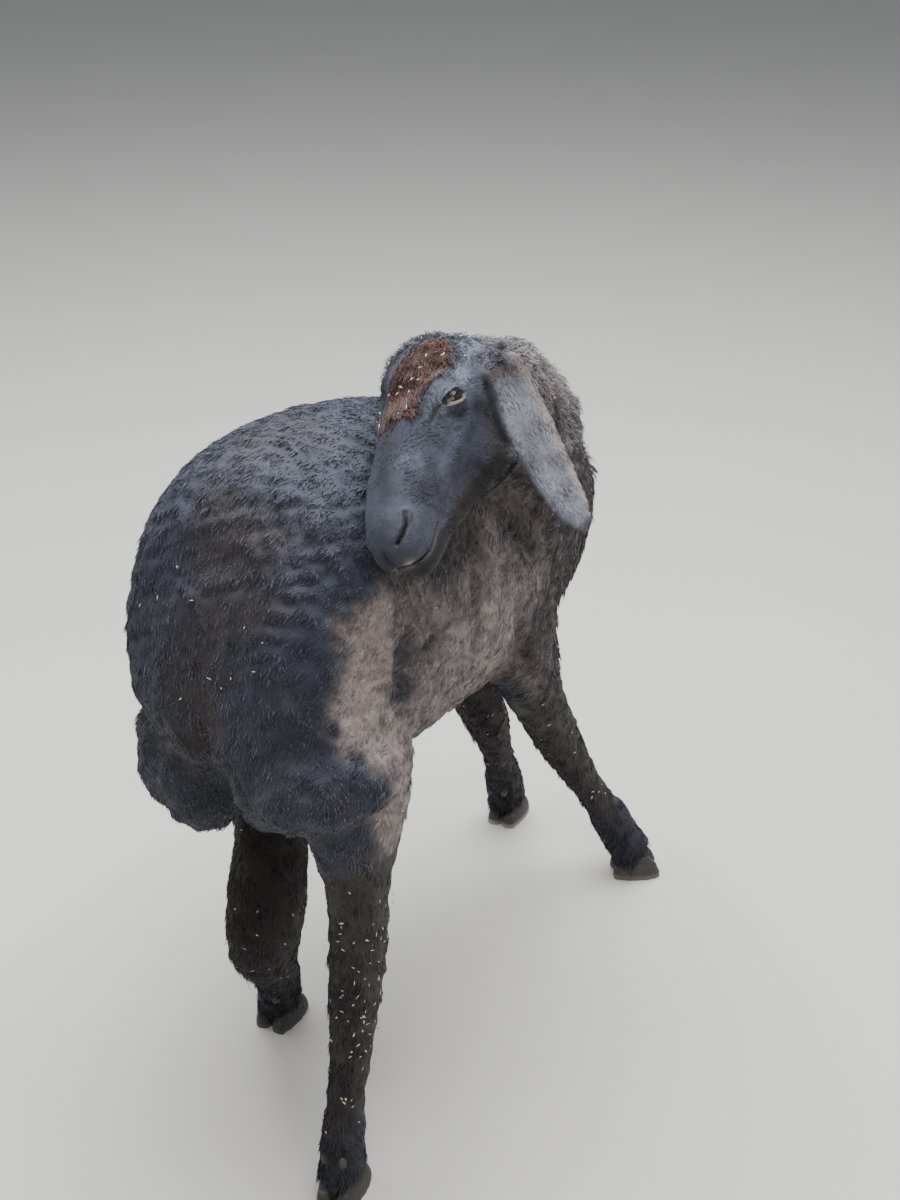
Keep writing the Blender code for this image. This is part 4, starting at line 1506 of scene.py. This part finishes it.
class SHEEP_OT_poll_wool(bpy.types.Operator):
    """Grow the curly wool of the poll and round the roots of the ears"""

    bl_idname = "sheep.poll_wool"
    bl_label = "Poll wool"

    def execute(self, context):
        def chosen(held):
            return held["head"] + held["ear"] + held["neck"] > 0.5

        def kept(roots):
            return poll_share(roots.points, roots.weights) > 0.30

        return grow("poll_wool", POLL_STYLE, 8, "face_hair", chosen, kept)


class SHEEP_OT_ear_hair(bpy.types.Operator):
    """Grow the short hair of the ears"""

    bl_idname = "sheep.ear_hair"
    bl_label = "Ear hair"

    def execute(self, context):
        def chosen(held):
            return held["ear"] > 0.4

        return grow("ear_hair", EAR_STYLE, 5, "face_hair", chosen)


class SHEEP_OT_forelock(bpy.types.Operator):
    """Grow the rust forelock over the forehead"""

    bl_idname = "sheep.forelock"
    bl_label = "Forelock"

    def execute(self, context):
        def chosen(held):
            return held["head"] > 0.5

        def kept(roots):
            return (roots.markings[:, 2] > 0.30) & (poll_share(roots.points, roots.weights) < 0.7)

        return grow("forelock", FORELOCK_STYLE, 6, "face_hair", chosen, kept)


# ---------------------------------------------------------------- eyes

# Sizes on the eye, in shares of its radius: half widths, half heights and how high the middle lies.
PUPIL_SIZE = (0.24, 0.10)
IRIS_SIZE = (0.70, 0.44)
IRIS_RISE = 0.14
EYE_FRONT = 0.0011        # how far the clear front swells out
EYE_FIT = 0.985           # the eyeball's radius, in shares of the eye's
LASHES = 34
PUPIL_BLACK = (0.004, 0.004, 0.005)
IRIS_BROWNS = ((0.010, 0.008, 0.008), (0.034, 0.022, 0.015))
IRIS_RIM = (0.012, 0.009, 0.008)
# Tones of the rim round the iris, paler towards the bottom.
RIM_TONES = ((0.045, 0.033, 0.027), (0.38, 0.34, 0.27))


def eye_material():
    """A dark brown iris with a level pupil, and a pale rim below it."""
    paint = Paint("eye", {"Roughness": 0.10, "Specular IOR Level": 0.35})
    across, rise, _, _ = paint.channels("sight")
    across, rise = across * 2.0 - 1.0, rise * 2.0 - 1.0 - IRIS_RISE
    wide, high = across / IRIS_SIZE[0], rise / IRIS_SIZE[1]
    reach = (wide * wide + high * high) ** 0.5
    streaks = paint.noise(paint.place(), 900.0, 2.0)
    broad, tall = across / PUPIL_SIZE[0], rise / PUPIL_SIZE[1]
    pupil = (broad * broad * broad * broad + tall * tall * tall * tall).between(0.8, 1.3)
    iris = paint.mix(*IRIS_BROWNS, streaks.between(0.35, 0.7))
    colour = paint.mix(PUPIL_BLACK, iris, pupil)
    colour = paint.mix(colour, IRIS_RIM, reach.between(0.80, 0.96))
    rim_tone = paint.mix(*RIM_TONES, (0.0 - rise).between(0.22, 0.42))
    colour = paint.mix(colour, rim_tone, reach.between(0.97, 1.08))
    return paint.finish(colour)


class SHEEP_OT_eyes(bpy.types.Operator):
    """Model the eyes, with a swelling clear front and their lashes"""

    bl_idname = "sheep.eyes"
    bl_label = "Eyes"

    def execute(self, context):
        material = eye_material()
        for name, side in SIDES.items():
            eye = self.eyeball(name, side)
            eye.data.materials.append(material)
            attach(eye, BODY)
            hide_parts(f"eye_{name}")
            lashes = self.lashes(name, side)
            lashes.data.materials.append(coat_material(LASH_STYLE.kind))
            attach(lashes, BODY)
        return {"FINISHED"}

    def eyeball(self, name, side):
        """A ball whose attribute "sight" holds each point's place across and up the eye."""
        bpy.ops.object.select_all(action="DESELECT")
        radius = EYE_RADIUS * EYE_FIT
        bpy.ops.mesh.primitive_uv_sphere_add(segments=64, ring_count=48, radius=radius)
        eye = bpy.context.view_layer.objects.active
        eye.name = eye.data.name = f"eyeball_{name}"
        points = array_of(eye.data.vertices, "co")
        share = unit(points)
        swell = EYE_FRONT * smoothstep(0.80, 0.98, share[:, 2])
        local = points + share * swell[:, None]
        set_points(eye.data, np.array(eye_centre(side)) + local @ eye_axes(side))
        sight = np.concatenate([local / EYE_RADIUS * 0.5 + 0.5, np.ones((len(points), 1))], 1)
        set_attribute(eye.data, "sight", "FLOAT_COLOR", sight)
        select_only(eye)
        bpy.ops.object.mode_set(mode="EDIT")
        bpy.ops.mesh.select_all(action="SELECT")
        bpy.ops.mesh.normals_make_consistent(inside=False)
        bpy.ops.object.mode_set(mode="OBJECT")
        shade_smooth(eye)
        return eye

    def lashes(self, name, side):
        """A fringe along the upper lid."""
        settings = bpy.context.scene.sheep_skin
        across = np.linspace(-0.75, 0.75, LASHES)
        rise = np.sqrt(1.0 - across ** 2) ** 0.8 * settings.lid_height * 1.08
        flat = np.stack([across * settings.lid_width, rise], 1)
        radius = EYE_RADIUS * LID_RADIUS
        out = np.sqrt(radius ** 2 - (flat ** 2).sum(1))
        local = np.concatenate([flat, out[:, None]], 1)
        axes, centre = eye_axes(side), np.array(eye_centre(side))
        normals = unit(np.stack([local[:, 0] * 0.3, local[:, 1] * 0.2, out], 1)) @ axes
        lie = np.stack([across * 0.5, -np.full(LASHES, 0.75), np.zeros(LASHES)], 1) @ axes
        lie = unit(lie - normals * (lie * normals).sum(1)[:, None])
        roots = Roots({
            "points": centre + local @ axes,
            "normals": normals,
            "lie": lie,
            "longer": np.ones(LASHES),
            "markings": np.zeros((LASHES, 4)),
            "bare": np.zeros((LASHES, 4)),
        })
        chance = np.random.default_rng(40 + side)
        return tuft_mesh(f"lashes_{name}", roots, LASH_STYLE, chance)


# ---------------------------------------------------------------- hooves

HOOF_MESH = 0.0019
HOOF_RING = 0.0042        # from one growth ring to the next
RING_HEIGHT = 0.00022
PIT_HEIGHT = 0.00012
DEWCLAW_DEPTH = 0.0020    # how far under the skin a dewclaw's middle lies
# How much of each foot's edge is worn pale.
WORN_EDGE = {"fore_left": 1.0, "fore_right": 0.35, "hind_left": 0.15, "hind_right": 0.10}
HORN_LINE = (0.070, 0.060, 0.052)
HORN_DUST = (0.16, 0.135, 0.11)
HORN_WORN = (0.33, 0.28, 0.21)


def hoof_material():
    """Black horn with fine growth lines, scuffed and pale at the ground."""
    colours = bpy.context.scene.sheep_colours
    paint = Paint("hoof_horn", {"Specular IOR Level": 0.4})
    place = paint.place()
    lines = paint.noise(paint.place((0.25, 0.25, 2.2)), 260.0, 3.0)
    dust = paint.noise(place, 120.0, 4.0, 0.65)
    coordinates = paint.node("ShaderNodeSeparateXYZ", None, {0: place})
    height = Value(paint, coordinates.outputs[2])
    worn, _, _, _ = paint.channels("worn")
    worn = worn * (1.0 - (height + dust * 0.008).between(0.007, 0.014))
    colour = paint.mix(colours.horn, HORN_LINE, (lines * 1.1 - 0.25).clamped())
    colour = paint.mix(colour, HORN_DUST, (dust.between(0.52, 0.75) * 0.55).clamped())
    colour = paint.mix(colour, HORN_WORN, (worn * 0.8).clamped())
    paint.bump(lines + dust * 0.5, 0.0006, 0.8)
    return paint.finish(colour, 0.42 + dust * 0.3)


class SHEEP_OT_hooves(bpy.types.Operator):
    """Model the claws and dewclaws of each foot, with their growth rings"""

    bl_idname = "sheep.hooves"
    bl_label = "Hooves"

    def set_in(self, dewclaw):
        """Brings a dewclaw in until its middle is just under the skin of the leg."""
        points = array_of(dewclaw.data.vertices, "co")
        middle = points.mean(0)
        _, place, normal, _ = bpy.data.objects["skin"].closest_point_on_mesh(middle)
        set_points(dewclaw.data, points + np.array(place - normal * DEWCLAW_DEPTH) - middle)

    def add_rings(self, hooves):
        """Smooths the claws and raises their growth rings, with flat soles on the ground."""
        mesh = hooves.data
        points = array_of(mesh.vertices, "co")
        points = even_out(points, Web(mesh), 6, np.ones(len(points)))
        set_points(mesh, points)
        normals = array_of(mesh.vertices, "normal")
        tilt = points[:, 2] - 0.12 * points[:, 1] + 0.0012 * ripple(points, 0.02, 51)
        rings = np.sin(2.0 * math.pi * tilt / HOOF_RING) * RING_HEIGHT
        rings = rings + ripple(points, 0.006, 52) * PIT_HEIGHT
        points = points + normals * (rings * smoothstep(0.002, 0.006, points[:, 2]))[:, None]
        points[:, 2] = np.maximum(points[:, 2], 0.0)
        set_points(mesh, points)

    def execute(self, context):
        material = hoof_material()
        for foot in FEET:
            nodes = [f"{kind}_{foot}_{side}" for kind in ("hoof", "dewclaw") for side in SIDES]
            copies = [copy_of(node) for node in nodes]
            for dewclaw in copies[2:]:
                self.set_in(dewclaw)
            hooves = joined(f"hooves_{foot}", copies)
            apply_modifier(hooves, "REMESH", mode="VOXEL", voxel_size=HOOF_MESH)
            self.add_rings(hooves)
            worn = np.full((len(hooves.data.vertices), 4), WORN_EDGE[foot])
            set_attribute(hooves.data, "worn", "FLOAT_COLOR", worn)
            shade_smooth(hooves)
            hooves.data.materials.append(material)
            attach(hooves, BODY)
            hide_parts(*nodes)
        return {"FINISHED"}


# ---------------------------------------------------------------- straw

STRAW_LENGTH = 0.0056
STRAW_WIDTH = 0.0018
STRAW_SPACING = 0.0045
STRAW_THICKNESS = 0.35    # in shares of its width
STRAW_LIFT = 0.0052       # from the skin to a fleck in the coat
FORELOCK_LIFT = 0.0085
NECK_LIFT = 0.0060        # more on the neck
STAINED_PLACE = (-0.10, 0.025, 0.62)
PALE_STRAW = (0.60, 0.55, 0.42)


def straw_material():
    colours = bpy.context.scene.sheep_colours
    paint = Paint("straw")
    tone = paint.noise(paint.place(), 160.0, 2.0)
    colour = paint.mix(colours.straw, PALE_STRAW, tone.between(0.4, 0.65))
    return paint.finish(paint.scaled(colour, 0.55 + tone * 0.7), 0.7 - tone * 0.1)


def straw_chance(roots):
    """How likely a fleck is at each root: most in the forelock and on the dusty hind leg."""
    trunk, neck, leg, head = shares_of(roots.weights, "trunk", "neck", "leg", "head")
    forward, _, top = head_shares(roots.points).T
    ahead, left = BOX_MIDDLE_AHEAD - roots.points[:, 1], roots.points[:, 0]
    up = roots.points[:, 2]
    crown = head * (1.0 - smoothstep(0.08, 0.40, forward)) * smoothstep(-0.16, -0.05, top)
    dusty = (ahead < 0.12) & (left < -0.03)
    level = smoothstep(0.08, 0.16, up) * (1.0 - smoothstep(0.30, 0.42, up))
    stained = bell(distances_to(roots.points, at(*STAINED_PLACE)), 0.05)
    likely = 0.070 * roots.markings[:, 2] + 0.030 * crown + (0.016 + 0.085 * dusty) * leg * level
    return likely + 0.007 * neck + 0.0012 * trunk + 0.03 * stained


def straw_mesh(roots, chance):
    """A flat six-cornered splinter at each root, turned by chance."""
    count = len(roots)
    [neck] = shares_of(roots.weights, "neck")
    lift = np.where(roots.markings[:, 2] > 0.3, FORELOCK_LIFT, STRAW_LIFT) + NECK_LIFT * neck
    middle = roots.points + roots.normals * lift[:, None]
    turn = chance.uniform(0.0, 2.0 * math.pi, count)[:, None]
    way = roots.lie * np.cos(turn) + np.cross(roots.normals, roots.lie) * np.sin(turn)
    way = unit(way + roots.normals * chance.normal(0.0, 0.3, (count, 1)))
    side = unit(np.cross(way, roots.normals))
    over = np.cross(side, way)
    half = STRAW_LENGTH / 2.0 * chance.uniform(0.5, 1.3, (count, 1))
    wide = STRAW_WIDTH / 2.0 * chance.uniform(0.6, 1.4, (count, 1))
    thick = wide * STRAW_THICKNESS
    corners = [
        middle - way * half,
        middle + side * wide - way * half * 0.3,
        middle + over * thick,
        middle - side * wide - way * half * 0.3,
        middle - over * thick,
        middle + way * half,
    ]
    points = np.stack(corners, 1).reshape(-1, 3)
    belt = (1, 2, 3, 4)
    faces = []
    for here, there in zip(belt, belt[1:] + belt[:1]):
        faces += [(0, there, here), (5, here, there)]
    indices = np.array(faces)[None] + np.arange(count)[:, None, None] * len(corners)
    return mesh_of("straw_flecks", points, indices.reshape(-1))


class SHEEP_OT_straw(bpy.types.Operator):
    """Scatter flecks of straw in the forelock, over the legs and on the neck"""

    bl_idname = "sheep.straw"
    bl_label = "Straw"

    def execute(self, context):
        chance = np.random.default_rng(61)
        roots = grow_roots(STRAW_SPACING, 7, lambda held: held["ear"] < 0.5)
        roots = roots.where(chance.uniform(size=len(roots)) < straw_chance(roots))
        mesh = straw_mesh(roots, chance)
        mesh.materials.append(straw_material())
        piece = bpy.data.objects.new(mesh.name, mesh)
        bpy.context.scene.collection.objects.link(piece)
        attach(piece, BODY)
        return {"FINISHED"}


# ---------------------------------------------------------------- stage

CAMERA_PLACE = at(-1.155, -0.964, 1.485)
CAMERA_RIGHT = Vector((-0.8339, -0.5519, 0.0))
CAMERA_LOOK = Vector((0.4850, -0.7328, -0.4772))
FLOOR_SIDE = 40.0
STUDIO_MIDDLE = Vector((0.0, 0.05, 0.55))
STUDIO_SKY = (0.86, 0.90, 0.96, 1.0)
STUDIO_SKY_STRENGTH = 0.30
# Each lamp: its place, how wide it is, its share of the power and its colour.
LAMPS = {
    "key": ((-1.6, 1.7, 2.6), 2.2, 0.60, (1.0, 0.99, 0.97)),
    "fill": ((2.4, 1.2, 2.2), 2.6, 0.45, (0.93, 0.96, 1.0)),
    "top": ((0.1, -0.5, 3.2), 3.0, 3.0, (0.95, 0.97, 1.0)),
}


class SHEEP_OT_stage(bpy.types.Operator):
    """Lay a pale floor, hang soft lights and place the camera"""

    bl_idname = "sheep.stage"
    bl_label = "Stage"

    def execute(self, context):
        settings = context.scene.sheep_stage
        self.floor(settings.floor_colour)
        self.world()
        for name, (place, width, share, colour) in LAMPS.items():
            self.lamp(name, place, width, settings.light_power * share, colour)
        self.camera(settings.lens)
        return {"FINISHED"}

    def floor(self, colour):
        bpy.ops.object.select_all(action="DESELECT")
        bpy.ops.mesh.primitive_plane_add(size=FLOOR_SIDE)
        floor = bpy.context.view_layer.objects.active
        floor.name = "floor"
        paint = Paint("floor")
        grain = paint.noise(paint.place(), 3.0, 4.0)
        colour = paint.scaled(colour, 0.97 + grain * 0.06)
        floor.data.materials.append(paint.finish(colour, 0.9 - grain * 0.05))

    def world(self):
        world = bpy.data.worlds.new("studio")
        world.use_nodes = True
        background = world.node_tree.nodes["Background"]
        background.inputs[0].default_value = STUDIO_SKY
        background.inputs[1].default_value = STUDIO_SKY_STRENGTH
        bpy.context.scene.world = world

    def lamp(self, name, place, width, power, colour):
        data = bpy.data.lights.new(name, "AREA")
        data.shape = "DISK"
        data.size = width
        data.energy = power
        data.color = colour
        lamp = bpy.data.objects.new(name, data)
        lamp.location = place
        lamp.rotation_euler = (STUDIO_MIDDLE - lamp.location).to_track_quat("-Z", "Y").to_euler()
        bpy.context.scene.collection.objects.link(lamp)

    def camera(self, lens):
        data = bpy.data.cameras.new("camera")
        data.lens = lens
        data.sensor_width = 36.0
        camera = bpy.data.objects.new("camera", data)
        up = CAMERA_RIGHT.cross(CAMERA_LOOK)
        turn = Matrix((CAMERA_RIGHT, up, -CAMERA_LOOK)).transposed().to_4x4()
        camera.matrix_world = Matrix.Translation(CAMERA_PLACE) @ turn
        bpy.context.scene.collection.objects.link(camera)
        bpy.context.scene.camera = camera


# ---------------------------------------------------------------- panel and main

class SHEEP_PT_panel(bpy.types.Panel):
    """Lists the pieces of the sheep and their settings"""

    bl_label = "Shorn Sheep"
    bl_idname = "SHEEP_PT_panel"
    bl_space_type = "VIEW_3D"
    bl_region_type = "UI"
    bl_category = "Sheep"

    def draw(self, context):
        for group in SETTINGS:
            box = self.layout.box()
            settings = getattr(context.scene, group)
            for name in settings.bl_rna.properties.keys():
                if name not in ("rna_type", "name"):
                    box.prop(settings, name)
        for operator in OPERATORS:
            self.layout.operator(operator.bl_idname)


SETTINGS = {
    "sheep_skin": SheepSkinSettings,
    "sheep_coat": SheepCoatSettings,
    "sheep_colours": SheepColourSettings,
    "sheep_stage": SheepStageSettings,
}
OPERATORS = (
    SHEEP_OT_stage,
    SHEEP_OT_skin,
    SHEEP_OT_eyes,
    SHEEP_OT_hooves,
    SHEEP_OT_body_wool,
    SHEEP_OT_neck_wool,
    SHEEP_OT_leg_hair,
    SHEEP_OT_face_hair,
    SHEEP_OT_poll_wool,
    SHEEP_OT_ear_hair,
    SHEEP_OT_forelock,
    SHEEP_OT_straw,
)


def register():
    for group in (*SETTINGS.values(), *OPERATORS, SHEEP_PT_panel):
        bpy.utils.register_class(group)
    for name, group in SETTINGS.items():
        setattr(bpy.types.Scene, name, PointerProperty(type=group))


def unregister():
    for name in SETTINGS:
        delattr(bpy.types.Scene, name)
    for group in (SHEEP_PT_panel, *reversed(OPERATORS), *reversed(SETTINGS.values())):
        bpy.utils.unregister_class(group)


def main():
    register()
    for operator in OPERATORS:
        family, name = operator.bl_idname.split(".")
        getattr(getattr(bpy.ops, family), name)()


if __name__ == "__main__":
    main()
